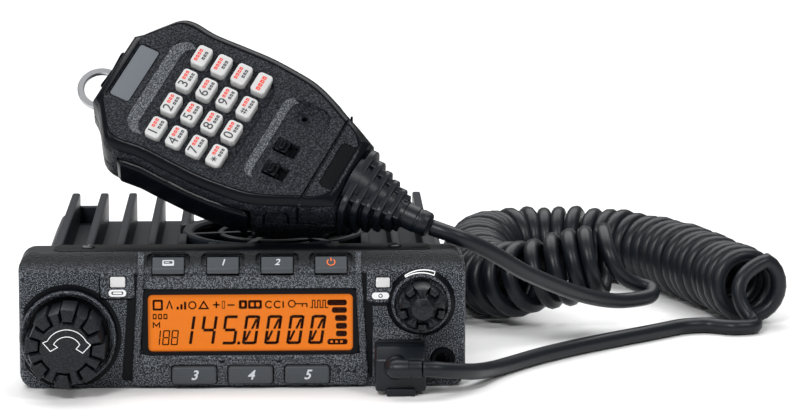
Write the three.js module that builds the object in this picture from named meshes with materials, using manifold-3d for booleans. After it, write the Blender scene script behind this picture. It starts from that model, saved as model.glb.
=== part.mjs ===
// A mobile transceiver with its hand microphone on a curly cord.
//
// Millimetres, +Z up. The radio faces -Y and +X is to its right. The origin is on the surface that
// the radio stands on, under the middle of the radio. Radio parts are built in a group whose Y = 0
// is the front face of the panel; microphone parts are built lying on their back, in a group that
// is then leaned against the radio.

import * as THREE from 'three';
import { mergeVertices } from 'three/addons/utils/BufferGeometryUtils.js';
import Module from 'manifold-3d';

const wasm = await Module();
wasm.setup();

// ---------- driving dimensions: radio ----------

const GAP = 0.3;
const PANEL_WIDTH = 145;
const PANEL_HEIGHT = 44.2;
const PANEL_CORNER = 5;
const BEZEL_DEPTH = 18;
const BEZEL_WALL = 2.6;
const FACE_THICKNESS = 3;
const SLOPE = 6;
const KNOB_REACH = 20;

const CHASSIS_WIDTH = 136.8;
const CHASSIS_FRONT = BEZEL_DEPTH + GAP;
const CHASSIS_REAR = 124.8;
const CHASSIS_LOW = 1.8;
const CHASSIS_WALL = 3.2;
const FIN_FLOOR = 33.5;
const FIN_TOP = 44;
const FIN_PITCH = 10.12;
const FIN_THICKNESS = 2.9;
const FINS_EACH_SIDE = 6;
const DECK_UNDERSIDE = 29.5;

const FAN_X = FIN_PITCH;
const FAN_Y = 49.5;
const FAN_WELL = 31.4;
const FAN_RADIUS = 30.8;
const FAN_HUB = 9;

const FRAME = { left: -36.2, right: 40.9, low: 1.2, high: 37.2, proud: 1.6 };
const WINDOW = { left: -31.6, right: 36.7, low: 11.6, high: 32.4 };
const CHANNEL = { x: -56.5, z: 17.4, ring: 16, knob: 12.8 };
const VOLUME = { x: 58, z: 28, ring: 9.5, knob: 7.8 };
const TX_LENS = { x: -40.3, z: 35.4, width: 4.9, height: 3.4 };
const PWR_LENS = { x: 45.6, z: 34.8, width: 4.6, height: 3.2 };
const AUX = { x: 65, z: 9.2, ring: 3.8, hole: 1.9 };
const PLUG = { x: 51, z: 8.4, width: 16.4, height: 14.2, front: -KNOB_REACH, tongue: 11.6 };
const LOWER_KEYS = [-15.8, 2.5, 20.9];
const LOWER_KEY = { z: 4.8, width: 14.5, height: 5.8, proud: 3.2 };
const TOP_KEYS = { menu_key: -24, preset_key_1: -6.3, preset_key_2: 11.3, power_key: 28.8 };
const TOP_KEY_WIDTH = 10.3;

const ANTENNA = { x: -38, z: 17, flange: 24, barrel: 7.9, bore: 5.8, length: 12.8 };
const REAR_END = CHASSIS_REAR + ANTENNA.length;
const INLET = { x: 40, z: 16, width: 22, height: 13, length: 8.6 };
const SPEAKER_Y = 62;
const EAR_JACK = { x: 8, z: 13, radius: 4, hole: 1.8, length: 4.4 };

// The front face of the panel, so that the radio's depth is centred on the origin.
const PANEL_Y = -(REAR_END - KNOB_REACH) / 2;

// ---------- driving dimensions: microphone ----------

const MIC_PLACE = { x: -11, y: 33, z: 87.9 };
const MIC_LEAN = THREE.MathUtils.degToRad(51);
const MIC_TURN = THREE.MathUtils.degToRad(-28.25);
const MIC_BACK = -25;
const MIC_PARTING = -13;
const MIC_WALL = 2.4;
// Half of the housing's width at places along it, from the head to the cord end.
const MIC_OUTLINE = [
  [-35, 13.2], [-31, 15.6], [-26.5, 21.5], [-23, 26.2], [-18.5, 27.4], [-12, 27],
  [-1, 28], [9, 28.3], [19, 27.6], [27, 26.4], [34.5, 23.6], [41, 20.4], [47, 17.6], [54.3, 14],
];
const MIC_OUTLINE_STEPS = 24;
const MIC_AXIS_DEPTH = -12;
const KEY_PITCH = { x: 7.55, y: 10.4 };
const KEY = { length: 5.3, width: 7.8, corner: 1.3, proud: 1.2, depth: 4.4 };
const KEYPAD = { x: -1.2, length: 39.5, width: 40.4, corner: 5, depth: 1 };
const KEY_NAMES = [
  ['key_1', 'key_2', 'key_3', 'key_a'],
  ['key_4', 'key_5', 'key_6', 'key_b'],
  ['key_7', 'key_8', 'key_9', 'key_c'],
  ['key_star', 'key_0', 'key_hash', 'key_d'],
];
const MIC_WINDOW = { x: -28.2, length: 7.1, width: 21.6 };
const MIC_HOLE = { x: 29.9, y: 11.6, radius: 1.2 };
const SWITCHES = { lock_switch: [29.7, -1.4], tone_switch: [30.5, -10.7] };
const SWITCH_SLOT = { length: 7.9, width: 5 };
const SWITCH_SLIDER = { length: 4.4, width: 4.2 };
const PTT = { left: -19, right: 29, outer: -30.2, inner: -26.4, low: -18.5, high: -6 };
const ROCKER = { left: -37.4, right: -33.6, half: 7.2, low: -10.4, high: -5 };
const RING = { x: -42, outer: 8.1, inner: 5.8, depth: -21.6, thickness: 1.6 };
const BOOT = { start: 54.6, ribs: 72, end: 82 };

// ---------- driving dimensions: cord ----------

const CORD_RADIUS = 2.7;
const COIL_RADIUS = 14;
const CORD_SIDES = 8;

// From the microphone's strain relief to the mouth of the curly part.
const MIC_LEAD_ROUTE = [
  [62, -41.2, 49.6], [66.5, -42.6, 48.2], [72, -42.6, 46.1], [79, -39.6, 42.4], [86, -34.6, 37.6],
  [93, -28.4, 32.4], [100, -21.2, 28], [107, -13.6, 23.8], [114.5, -4.6, 19.6], [121.5, 5, 16.2],
  [128, 12.4, 14], [134.2, 17, 13.4], [140, 21, 13.6], [143.4, 25.2, 14.6], [142.4, 28.7, 16],
  [138.2, 29.2, 16.7], [132.4, 29.4, 15.5],
];
// Along the middle of the curly part.
const CURLY_ROUTE = [
  [129.8, 29.7, 26], [120, 30.7, 24], [110.5, 31.9, 21.6], [99.5, 34.9, 18.4], [90.8, 43, 15.6],
  [86.2, 56, 14.2], [84.6, 72, 14], [84.4, 89, 14], [85.8, 106, 14], [91.5, 120, 14],
  [103, 127.4, 14], [117.6, 127.4, 14], [132, 122.6, 14], [144.6, 114.1, 14], [154, 101, 14],
  [160.7, 86, 14], [166.6, 70, 14], [172.4, 52, 14], [179, 31, 14],
];
// From the far mouth of the curly part, along the surface, up to the plug.
const PLUG_LEAD_ROUTE = [
  [179.2, 30.7, 3], [180.4, 26.6, 2.9], [179.6, 22.4, 2.8], [175.6, 19.6, 2.8], [169, 20.4, 2.8],
  [161.5, 24, 2.8], [152.5, 22.4, 2.8], [144.5, 16, 2.8], [136.2, 9, 2.8], [121.3, -3.4, 2.8],
  [110, -13.6, 2.8], [99, -25, 2.8], [90.5, -35.5, 2.8], [84.2, -44.5, 3.1], [80.2, -51.4, 3.8],
  [77.4, -57.6, 4.8], [74.2, -64, 6], [70, -69.4, 7.4], [65.4, -73.6, 8.6], [61.6, -75.5, 9.4],
  [57.9, -75.8, 9.6],
];

// ---------- finishes ----------

const finish = (color, roughness, metalness) =>
  new THREE.MeshStandardMaterial({ color, roughness, metalness });
const BLACK_PLASTIC = finish(0x1c1f22, 0.6, 0);
const KEY_PLASTIC = finish(0x3c4044, 0.5, 0);
const KNOB_RUBBER = finish(0x17191b, 0.75, 0);
const CAST_METAL = finish(0x33373b, 0.55, 0.6);
const STEEL = finish(0x9a9d9f, 0.3, 1);
const BRIGHT_METAL = finish(0xb9bcbd, 0.2, 1);
const CLEAR = finish(0xe8ecee, 0.1, 0);
const AMBER = finish(0xf0821e, 0.4, 0);
const CIRCUIT_BOARD = finish(0x1d5a34, 0.5, 0.1);
const WHITE_KEY = finish(0xe9e9e4, 0.5, 0);
const GREY_PLATE = finish(0x6b7077, 0.5, 0.1);
const CORD_RUBBER = finish(0x1d2124, 0.7, 0);

// ---------- solid helpers ----------

function solid(geometry) {
  const bare = new THREE.BufferGeometry();
  bare.setAttribute('position', geometry.getAttribute('position').clone());
  if (geometry.index) bare.setIndex(geometry.index.clone());
  const merged = mergeVertices(bare, 1e-4);
  return new wasm.Manifold(new wasm.Mesh({
    numProp: 3,
    vertProperties: new Float32Array(merged.attributes.position.array),
    triVerts: new Uint32Array(merged.index.array),
  }));
}

function geometryOf(manifold) {
  const mesh = manifold.getMesh();
  const geometry = new THREE.BufferGeometry();
  geometry.setAttribute('position', new THREE.BufferAttribute(mesh.vertProperties, 3));
  geometry.setIndex(new THREE.BufferAttribute(mesh.triVerts, 1));
  return geometry;
}

function cut(geometry, ...tools) {
  return geometryOf(tools.reduce((body, tool) => body.subtract(solid(tool)), solid(geometry)));
}

function join(geometry, ...others) {
  return geometryOf(others.reduce((body, other) => body.add(solid(other)), solid(geometry)));
}

function common(geometry, other) {
  return geometryOf(solid(geometry).intersect(solid(other)));
}

function box(x0, x1, y0, y1, z0, z1) {
  return new THREE.BoxGeometry(x1 - x0, y1 - y0, z1 - z0)
    .translate((x0 + x1) / 2, (y0 + y1) / 2, (z0 + z1) / 2);
}

function roundedRect(x0, x1, y0, y1, r) {
  const shape = new THREE.Shape();
  shape.moveTo(x0 + r, y0);
  shape.lineTo(x1 - r, y0);
  shape.absarc(x1 - r, y0 + r, r, -Math.PI / 2, 0);
  shape.lineTo(x1, y1 - r);
  shape.absarc(x1 - r, y1 - r, r, 0, Math.PI / 2);
  shape.lineTo(x0 + r, y1);
  shape.absarc(x0 + r, y1 - r, r, Math.PI / 2, Math.PI);
  shape.lineTo(x0, y0 + r);
  shape.absarc(x0 + r, y0 + r, r, Math.PI, Math.PI * 1.5);
  return shape;
}

function polygon(points) {
  return new THREE.Shape(points.map(([x, y]) => new THREE.Vector2(x, y)));
}

// Extrudes a shape drawn in XY upwards, with its edges eased by `ease` top and bottom.
function upright(shape, z0, z1, arcSteps = 3, ease = 0) {
  const depth = z1 - z0 - 2 * ease;
  return new THREE.ExtrudeGeometry(shape, {
    depth, steps: 1, curveSegments: arcSteps, bevelEnabled: ease > 0, bevelThickness: ease,
    bevelSize: ease, bevelOffset: -ease, bevelSegments: 1,
  }).translate(0, 0, z0 + ease);
}

// The same for a shape drawn in X and Z, which then runs from yFront back to yBack.
function frontal(shape, yFront, yBack, arcSteps = 3, ease = 0) {
  return upright(shape, -yBack, -yFront, arcSteps, ease).rotateX(Math.PI / 2);
}

// The same for a shape drawn in Y and Z, which then runs along X.
function sideways(shape, x0, x1, arcSteps = 3) {
  return upright(shape, x0, x1, arcSteps).rotateY(Math.PI / 2).rotateX(Math.PI / 2);
}

// Turns a profile of [radius, height] points round the Z axis.
function turnedUp(profile, sides) {
  const points = profile.map(([r, z]) => new THREE.Vector2(r, z));
  return new THREE.LatheGeometry(points, sides).rotateX(Math.PI / 2);
}

// A round piece on the front of the radio, with `along` measured forward from the panel.
function turnedFrontal(profile, sides, x, z) {
  const points = profile.map(([r, along]) => new THREE.Vector2(r, along));
  return new THREE.LatheGeometry(points, sides).rotateX(Math.PI).translate(x, 0, z);
}

function rod(radius, y0, y1, x, z, sides = 20) {
  return new THREE.CylinderGeometry(radius, radius, y1 - y0, sides).translate(x, (y0 + y1) / 2, z);
}

function post(radius, z0, z1, x, y, sides = 20) {
  return new THREE.CylinderGeometry(radius, radius, z1 - z0, sides)
    .rotateX(Math.PI / 2).translate(x, y, (z0 + z1) / 2);
}

function tube(route, radius, sides, steps) {
  const curve = new THREE.CatmullRomCurve3(route.map((p) => new THREE.Vector3(...p)), false, 'centripetal');
  const section = new THREE.Shape();
  section.absarc(0, 0, radius, 0, Math.PI * 2);
  return new THREE.ExtrudeGeometry(section, {
    steps, curveSegments: sides / 2, bevelEnabled: false, extrudePath: curve,
  });
}

function part(name, geometry, material) {
  const mesh = new THREE.Mesh(geometry, material);
  mesh.name = name;
  return mesh;
}

// ---------- radio: housing ----------

function frontBezel() {
  const w = PANEL_WIDTH / 2;
  const h = PANEL_HEIGHT;
  const side = sideways(polygon([
    [1.2, 0], [BEZEL_DEPTH, 0], [BEZEL_DEPTH, h], [SLOPE, h], [0, h - SLOPE], [0, 1.6],
  ]), -w - 1, w + 1);
  const shell = common(frontal(roundedRect(-w, w, 0, h, PANEL_CORNER), 0, BEZEL_DEPTH, 4), side);
  const inside = sideways(polygon([
    [FACE_THICKNESS, BEZEL_WALL], [BEZEL_DEPTH + 1, BEZEL_WALL], [BEZEL_DEPTH + 1, h - BEZEL_WALL],
    [SLOPE + 1.2, h - BEZEL_WALL], [FACE_THICKNESS, h - SLOPE - 1],
  ]), -w + BEZEL_WALL, w - BEZEL_WALL);
  const frame = frontal(roundedRect(FRAME.left, FRAME.right, FRAME.low, FRAME.high, 3), -FRAME.proud, 1, 3);
  const channelRing = rod(CHANNEL.ring, -2.4, 1, CHANNEL.x, CHANNEL.z, 36);
  const volumeRing = rod(VOLUME.ring, -1.6, 1, VOLUME.x, VOLUME.z, 28);
  const solidFace = join(cut(shell, inside), frame, channelRing, volumeRing);

  const windowHole = frontal(roundedRect(
    WINDOW.left - GAP, WINDOW.right + GAP, WINDOW.low - GAP, WINDOW.high + GAP, 1.4), -5, 5, 2);
  const lensHoles = [TX_LENS, PWR_LENS].map((lens) => box(
    lens.x - lens.width / 2 - GAP, lens.x + lens.width / 2 + GAP, -2, 5,
    lens.z - lens.height / 2 - GAP, lens.z + lens.height / 2 + GAP));
  const lowerKeyHoles = LOWER_KEYS.map((x) => box(
    x - LOWER_KEY.width / 2 - GAP, x + LOWER_KEY.width / 2 + GAP, -5, 6,
    LOWER_KEY.z - LOWER_KEY.height / 2 - GAP, LOWER_KEY.z + LOWER_KEY.height / 2 + GAP));
  const topKeySlots = Object.values(TOP_KEYS).map((x) => box(
    x - TOP_KEY_WIDTH / 2 - GAP, x + TOP_KEY_WIDTH / 2 + GAP, -2, 5.8, h - 7.2, h + 1));
  return cut(
    solidFace, windowHole, ...lensHoles, ...lowerKeyHoles, ...topKeySlots,
    rod(CHANNEL.knob + 0.8, -5, 0.6, CHANNEL.x, CHANNEL.z, 32),
    rod(3.7, -1, 5, CHANNEL.x, CHANNEL.z, 16),
    rod(VOLUME.knob + 0.6, -5, 0.4, VOLUME.x, VOLUME.z, 28),
    rod(3.1, -1, 5, VOLUME.x, VOLUME.z, 16),
    rod(AUX.ring + GAP, -5, 5, AUX.x, AUX.z, 20),
    box(PLUG.x - 7.2, PLUG.x + 7.2, -5, 5, PLUG.z - 5, PLUG.z + 5),
  );
}

function chassisHeatsink() {
  const half = CHASSIS_WIDTH / 2;
  const outline = [[-half, CHASSIS_LOW], [half, CHASSIS_LOW], [half, FIN_FLOOR - 3], [half - 3, FIN_FLOOR]];
  for (let i = FINS_EACH_SIDE; i >= -FINS_EACH_SIDE; i -= 1) {
    const x = i * FIN_PITCH;
    const foot = FIN_THICKNESS / 2 + 0.25;
    const tip = FIN_THICKNESS / 2 - 0.15;
    outline.push([x + foot, FIN_FLOOR], [x + tip, FIN_TOP], [x - tip, FIN_TOP], [x - foot, FIN_FLOOR]);
  }
  outline.push([3 - half, FIN_FLOOR], [-half, FIN_FLOOR - 3]);
  const block = frontal(polygon(outline), CHASSIS_FRONT, CHASSIS_REAR);
  const tray = box(
    CHASSIS_WALL - half, half - CHASSIS_WALL, CHASSIS_FRONT - 1, CHASSIS_REAR - 4, 0, DECK_UNDERSIDE);
  const well = post(FAN_WELL, FIN_FLOOR, FIN_TOP + 1, FAN_X, FAN_Y, 40);
  const tieBar = box(
    -FINS_EACH_SIDE * FIN_PITCH, (1 - FINS_EACH_SIDE) * FIN_PITCH, CHASSIS_REAR - 3, CHASSIS_REAR,
    FIN_FLOOR - 1, FIN_FLOOR + 5.5);
  return cut(
    join(block, tieBar), tray, well,
    rod(ANTENNA.barrel - 1.5, CHASSIS_REAR - 5, CHASSIS_REAR + 1, ANTENNA.x, ANTENNA.z, 20),
    rod(EAR_JACK.radius + GAP, CHASSIS_REAR - 5, CHASSIS_REAR + 1, EAR_JACK.x, EAR_JACK.z, 16),
    box(
      INLET.x - INLET.width / 2 + 1.5, INLET.x + INLET.width / 2 - 1.5, CHASSIS_REAR - 5,
      CHASSIS_REAR + 1, INLET.z - INLET.height / 2 + 1.5, INLET.z + INLET.height / 2 - 1.5),
  );
}

function bottomCover() {
  const half = CHASSIS_WIDTH / 2;
  const plate = box(-half, half, CHASSIS_FRONT + 0.2, CHASSIS_REAR, 0, 1.5);
  const inner = half - CHASSIS_WALL - GAP;
  const flanges = [-1, 1].map((side) => box(
    ...[side * inner, side * (inner - 1.2)].sort((a, b) => a - b), CHASSIS_FRONT + 3,
    CHASSIS_REAR - 6, 1, 7));
  const slots = [];
  for (let i = -3; i <= 3; i += 1) {
    const reach = 18 - Math.abs(i) * 3;
    slots.push(box(i * 5 - 1.1, i * 5 + 1.1, SPEAKER_Y - reach, SPEAKER_Y + reach, -1, 3));
  }
  return cut(join(plate, ...flanges), ...slots);
}

// ---------- radio: front fittings ----------

function lcdWindow() {
  return frontal(roundedRect(WINDOW.left, WINDOW.right, WINDOW.low, WINDOW.high, 1.2), -0.4, 1, 2);
}

function lcdPanel() {
  return box(WINDOW.left + 0.2, WINDOW.right - 0.2, 1.4, 7.4, WINDOW.low + 0.2, WINDOW.high - 0.2);
}

function lens(spec) {
  const shape = roundedRect(
    spec.x - spec.width / 2, spec.x + spec.width / 2, spec.z - spec.height / 2,
    spec.z + spec.height / 2, 0.6);
  return frontal(shape, -0.9, 4, 2);
}

function channelKnob() {
  const grips = [];
  for (let i = 0; i < 8; i += 1) {
    const pad = box(-3.1, 3.1, -17.2, -6, 11.2, 13.1);
    grips.push(pad.rotateY(i * Math.PI / 4 + 0.09).translate(CHANNEL.x, 0, CHANNEL.z));
  }
  const body = turnedFrontal([
    [0, 0.2], [12, 0.2], [12.2, 5], [12, 17.6], [10.6, 19.4], [9, KNOB_REACH], [0, KNOB_REACH],
  ], 40, CHANNEL.x, CHANNEL.z);
  const hollow = turnedFrontal([
    [0, -1], [9.6, -1], [9.6, 8], [3.3, 8], [3.3, 15], [0, 15],
  ], 20, CHANNEL.x, CHANNEL.z);
  return cut(join(body, ...grips), hollow);
}

function channelEncoder() {
  const body = box(CHANNEL.x - 6.5, CHANNEL.x + 6.5, 3.3, 8.9, CHANNEL.z - 6.5, CHANNEL.z + 6.5);
  return join(body, rod(3, -14.2, 4, CHANNEL.x, CHANNEL.z, 16));
}

function volumeKnob() {
  const profile = [
    [0, 0.2], [7.6, 0.2], [VOLUME.knob, 3], [7.4, 9.6], [6, 12], [3.4, 13.2], [0, 13.5],
  ];
  const grooves = [];
  for (let i = 0; i < 5; i += 1) {
    const groove = box(-1.4, 1.4, -15, -2.6, 6.5, 9);
    grooves.push(groove.rotateY(i * Math.PI * 0.4 + 0.63).translate(VOLUME.x, 0, VOLUME.z));
  }
  const bore = rod(2.8, -10, 1, VOLUME.x, VOLUME.z, 16);
  return cut(turnedFrontal(profile, 30, VOLUME.x, VOLUME.z), bore, ...grooves);
}

function volumePot() {
  const body = box(VOLUME.x - 5.4, VOLUME.x + 5.4, 3.3, 8.9, VOLUME.z - 5.4, VOLUME.z + 5.4);
  return join(body, rod(2.5, -9.4, 4, VOLUME.x, VOLUME.z, 16));
}

function lowerKey(x) {
  const shape = roundedRect(
    x - LOWER_KEY.width / 2, x + LOWER_KEY.width / 2, LOWER_KEY.z - LOWER_KEY.height / 2,
    LOWER_KEY.z + LOWER_KEY.height / 2, 0.9);
  return frontal(shape, -LOWER_KEY.proud, 4.4, 1, 0.5);
}

// A key on the sloped top edge: a sloping top with an upright lip at the front.
function topKey(x) {
  const h = PANEL_HEIGHT;
  const profile = polygon([
    [-0.9, h - 6.2], [4.9, h - 6.2], [4.9, h - 0.2], [4.2, h + 0.3], [-0.2, h - 4], [-0.9, h - 4.4],
  ]);
  return sideways(profile, x - TOP_KEY_WIDTH / 2, x + TOP_KEY_WIDTH / 2);
}

function micSocket() {
  const body = box(PLUG.x - 7.6, PLUG.x + 7.6, 3.3, 8.9, PLUG.z - 5.4, PLUG.z + 5.4);
  const nose = box(PLUG.x - 6.9, PLUG.x + 6.9, 0.3, 4, PLUG.z - 4.7, PLUG.z + 4.7);
  const mouth = box(PLUG.x - 6.1, PLUG.x + 6.1, -1, 8, PLUG.z - 3.6, PLUG.z + 3.6);
  return cut(join(body, nose), mouth);
}

function micPlug() {
  const left = PLUG.x - PLUG.width / 2;
  const right = PLUG.x + PLUG.width / 2;
  const low = PLUG.z - PLUG.height / 2;
  const high = PLUG.z + PLUG.height / 2;
  const body = frontal(roundedRect(left, right, low, high, 2.2), PLUG.front + 6.2, -0.3, 3, 0.8);
  const boss = frontal(
    roundedRect(left + 3.4, right - 4.6, low + 4.2, high - 1.6, 2.6), PLUG.front, PLUG.front + 8, 3, 0.8);
  const tongue = box(
    PLUG.x - PLUG.tongue / 2, PLUG.x + PLUG.tongue / 2, -1.5, 7, PLUG.z - 3.2, PLUG.z + 3.2);
  // The cord leaves sideways from the front of the boss.
  const neck = new THREE.CylinderGeometry(2.8, 2.9, 4.4, 14).rotateZ(-Math.PI / 2)
    .translate(PLUG.x + 4.4, PLUG.front + 3, 9.6);
  return join(body, boss, tongue, neck);
}

function auxJack() {
  const ring = rod(AUX.ring, -1.2, 3, AUX.x, AUX.z, 24);
  const body = box(AUX.x - 3.6, AUX.x + 3.6, 3, 8.9, AUX.z - 3.6, AUX.z + 3.6);
  return cut(join(ring, body), rod(AUX.hole, -2, 7.5, AUX.x, AUX.z, 16));
}

// ---------- radio: inside ----------

function frontBoard() {
  return box(-66, 66, 9.2, 10.8, 4.4, 38);
}

function mainBoard() {
  return box(-62, 62, 20, 116, 12.6, 14.2);
}

function powerModule() {
  const body = box(-34, 34, 88, 106, 20, DECK_UNDERSIDE - GAP);
  return cut(body, box(-26, 26, 87, 91, 19, 23), box(-26, 26, 103, 107, 19, 23));
}

// A cone speaker that faces down through the slots of the bottom cover.
function speaker() {
  return turnedUp([
    [0, 7], [8, 6.6], [21, 3.4], [23, 2.4], [26, 2.4], [26, 5], [22, 5.4], [14, 9.4], [14, 12],
    [0, 12],
  ], 28).translate(0, SPEAKER_Y, 0);
}

// ---------- radio: fan ----------

function fanFrame() {
  const ring = turnedUp([
    [28.6, FIN_FLOOR + GAP], [FAN_RADIUS, FIN_FLOOR + GAP], [FAN_RADIUS, 41.2], [28.6, 41.2],
    [28.6, FIN_FLOOR + GAP],
  ], 36);
  const arms = spokes(3, 8, 29.4, 1.4, FIN_FLOOR + GAP, FIN_FLOOR + 1.6, 0.4);
  const base = post(FAN_HUB, FIN_FLOOR + GAP, FIN_FLOOR + 1.6, 0, 0, 20);
  const pin = post(1, FIN_FLOOR + 1, 39, 0, 0, 10);
  return join(ring, base, pin, ...arms).translate(FAN_X, FAN_Y, 0);
}

function fanRotor() {
  const blades = [];
  const count = 7;
  for (let i = 0; i < count; i += 1) {
    const blade = new THREE.BoxGeometry(20, 8.4, 1).rotateX(0.55).translate(17.6, 0, 38.3);
    blades.push(blade.rotateZ(i * 2 * Math.PI / count));
  }
  const hub = post(FAN_HUB, 35.6, 40.8, 0, 0, 20);
  const bore = post(1.4, 35, 39.6, 0, 0, 10);
  return cut(join(hub, ...blades), bore).translate(FAN_X, FAN_Y, 0);
}

function fanGuard() {
  const ring = turnedUp([
    [27.6, 41.5], [FAN_RADIUS, 41.5], [FAN_RADIUS, FIN_TOP], [27.6, FIN_TOP], [27.6, 41.5],
  ], 40);
  const hub = post(8, 41.8, FIN_TOP - 0.4, 0, 0, 24);
  return join(ring, hub, ...spokes(6, 7, 28.4, 2.2, 41.8, FIN_TOP - 0.6, 0.2)).translate(FAN_X, FAN_Y, 0);
}

function spokes(count, inner, outer, width, z0, z1, phase) {
  const arms = [];
  for (let i = 0; i < count; i += 1) {
    const arm = box(inner, outer, -width / 2, width / 2, z0, z1);
    arms.push(arm.rotateZ(phase + i * 2 * Math.PI / count));
  }
  return arms;
}

// ---------- radio: rear fittings ----------

function antennaSocket() {
  const { x, z, flange } = ANTENNA;
  const y = CHASSIS_REAR + GAP;
  const plate = frontal(roundedRect(
    x - flange / 2, x + flange / 2, z - flange / 2, z + flange / 2, 2), y, y + 2.4, 2);
  const barrel = rod(ANTENNA.barrel, y + 1, REAR_END, x, z, 28);
  const tail = rod(3, y - 9, y + 1, x, z, 14);
  const bore = rod(ANTENNA.bore, REAR_END - 7.5, REAR_END + 1, x, z, 20);
  const contact = rod(1.9, REAR_END - 12, REAR_END + 1, x, z, 14);
  return cut(join(plate, barrel, tail), bore, contact);
}

function powerInlet() {
  const { x, z, width, height, length } = INLET;
  const y = CHASSIS_REAR + GAP;
  const shell = frontal(roundedRect(
    x - width / 2, x + width / 2, z - height / 2, z + height / 2, 1.6), y, y + length, 2);
  const cavity = box(x - width / 2 + 1.6, x + width / 2 - 1.6, y + 1.6, y + length + 1,
    z - height / 2 + 1.6, z + height / 2 - 1.6);
  const tail = box(x - 7, x + 7, y - 8, y + 1, z - 3.6, z + 3.6);
  const blades = [-1, 1].map((side) => box(
    x + side * 6 - 0.6, x + side * 6 + 0.6, y + 1, y + length - 1, z - 2.4, z + 2.4));
  return join(cut(join(shell, tail), cavity), ...blades);
}

function earJack() {
  const { x, z, radius, hole, length } = EAR_JACK;
  const ring = rod(radius, CHASSIS_REAR - 6, CHASSIS_REAR + length, x, z, 20);
  return cut(ring, rod(hole, CHASSIS_REAR - 4, CHASSIS_REAR + length + 1, x, z, 12));
}

// ---------- microphone ----------

// The housing's outline, drawn in by `inset` all round.
function micOutline(inset) {
  const edge = MIC_OUTLINE.map(([x, half]) => new THREE.Vector2(x, half - inset));
  edge[0].x += inset;
  edge[edge.length - 1].x -= inset;
  const upper = new THREE.SplineCurve(edge).getPoints(MIC_OUTLINE_STEPS);
  return [...upper.map((p) => new THREE.Vector2(p.x, -p.y)), ...upper.reverse()];
}

// A closed body through the housing's outline at each of the [height, inset] levels.
function micLoft(levels) {
  const outlines = levels.map(([, inset]) => micOutline(inset));
  const count = outlines[0].length;
  const positions = levels.flatMap(([z], level) => outlines[level].flatMap((p) => [p.x, p.y, z]));
  const faces = [];
  for (let level = 0; level + 1 < levels.length; level += 1) {
    for (let i = 0; i < count; i += 1) {
      const a = level * count + i;
      const b = level * count + ((i + 1) % count);
      faces.push(a, b, b + count, a, b + count, a + count);
    }
  }
  const top = (levels.length - 1) * count;
  for (const [a, b, c] of THREE.ShapeUtils.triangulateShape(outlines[0], [])) faces.push(a, c, b);
  for (const [a, b, c] of THREE.ShapeUtils.triangulateShape(outlines[levels.length - 1], [])) {
    faces.push(top + a, top + b, top + c);
  }
  const geometry = new THREE.BufferGeometry();
  geometry.setAttribute('position', new THREE.Float32BufferAttribute(positions, 3));
  geometry.setIndex(faces);
  return geometry;
}

function micFrontShell() {
  const shell = micLoft([[MIC_PARTING + GAP / 2, 0], [-2.2, 0], [-0.7, 0.9], [0, 2.6]]);
  const hollow = micLoft([[MIC_PARTING - 1, MIC_WALL], [-3, MIC_WALL]]);
  const k = KEYPAD;
  const pocket = upright(roundedRect(
    k.x - k.length / 2, k.x + k.length / 2, -k.width / 2, k.width / 2, k.corner), -k.depth, 2, 3);
  const tools = [hollow, pocket, pttNotch(), rockerNotch()];
  for (let row = 0; row < 4; row += 1) {
    for (let column = 0; column < 4; column += 1) {
      tools.push(upright(keyShape(row, column, GAP), -4, 2, 1));
    }
  }
  for (const [x, y] of Object.values(SWITCHES)) {
    tools.push(box(
      x - SWITCH_SLOT.length / 2, x + SWITCH_SLOT.length / 2, y - SWITCH_SLOT.width / 2,
      y + SWITCH_SLOT.width / 2, -4, 2));
  }
  tools.push(post(MIC_HOLE.radius, -4, 1, MIC_HOLE.x, MIC_HOLE.y, 10));
  const w = MIC_WINDOW;
  tools.push(box(w.x - w.length / 2 - GAP, w.x + w.length / 2 + GAP,
    -w.width / 2 - GAP, w.width / 2 + GAP, -1.3, 2));
  return cut(shell, ...tools);
}

function micRearShell() {
  const shell = micLoft([
    [MIC_BACK, 5.6], [MIC_BACK + 1.2, 2.6], [MIC_BACK + 4.6, 0.6], [MIC_BACK + 7, 0],
    [MIC_PARTING - GAP / 2, 0],
  ]);
  const hollow = micLoft([[MIC_BACK + 2.6, MIC_WALL + 4], [MIC_BACK + 7, MIC_WALL], [MIC_PARTING + 1, MIC_WALL]]);
  const tab = box(-40, -28.6, -4.6, 4.6, RING.depth - 1.2, RING.depth + 1.2);
  const ring = post(RING.outer + 0.4, RING.depth - 1.2, RING.depth + 1.2, RING.x, 0, 24);
  return cut(shell, hollow, tab, ring, pttNotch());
}

function pttNotch() {
  return box(
    PTT.left - GAP, PTT.right + GAP, PTT.outer - 2, PTT.inner + 2.4, PTT.low - GAP, PTT.high + GAP);
}

function pttBar() {
  const profile = roundedRect(PTT.left, PTT.right, PTT.outer, PTT.inner, 1.4);
  return upright(profile, PTT.low, PTT.high, 2, 0.6);
}

function rockerNotch() {
  return box(
    ROCKER.left - 2, ROCKER.right + 0.5, -ROCKER.half - 0.5, ROCKER.half + 0.5, ROCKER.low - 0.5,
    ROCKER.high + 0.5);
}

function upDownRocker() {
  const shape = polygon([
    [ROCKER.right, -ROCKER.half + 1], [ROCKER.right, ROCKER.half - 1], [ROCKER.left, ROCKER.half],
    [ROCKER.left + 0.7, 0], [ROCKER.left, -ROCKER.half],
  ]);
  return upright(shape, ROCKER.low, ROCKER.high, 2, 0.4);
}

function keyShape(row, column, grow) {
  const x = (row - 1.5) * KEY_PITCH.x;
  const y = (column - 1.5) * KEY_PITCH.y;
  return roundedRect(
    x - KEY.length / 2 - grow, x + KEY.length / 2 + grow, y - KEY.width / 2 - grow,
    y + KEY.width / 2 + grow, KEY.corner);
}

function micKey(row, column) {
  return upright(keyShape(row, column, 0), -KEY.depth, KEY.proud, 1, 0.35);
}

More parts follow.
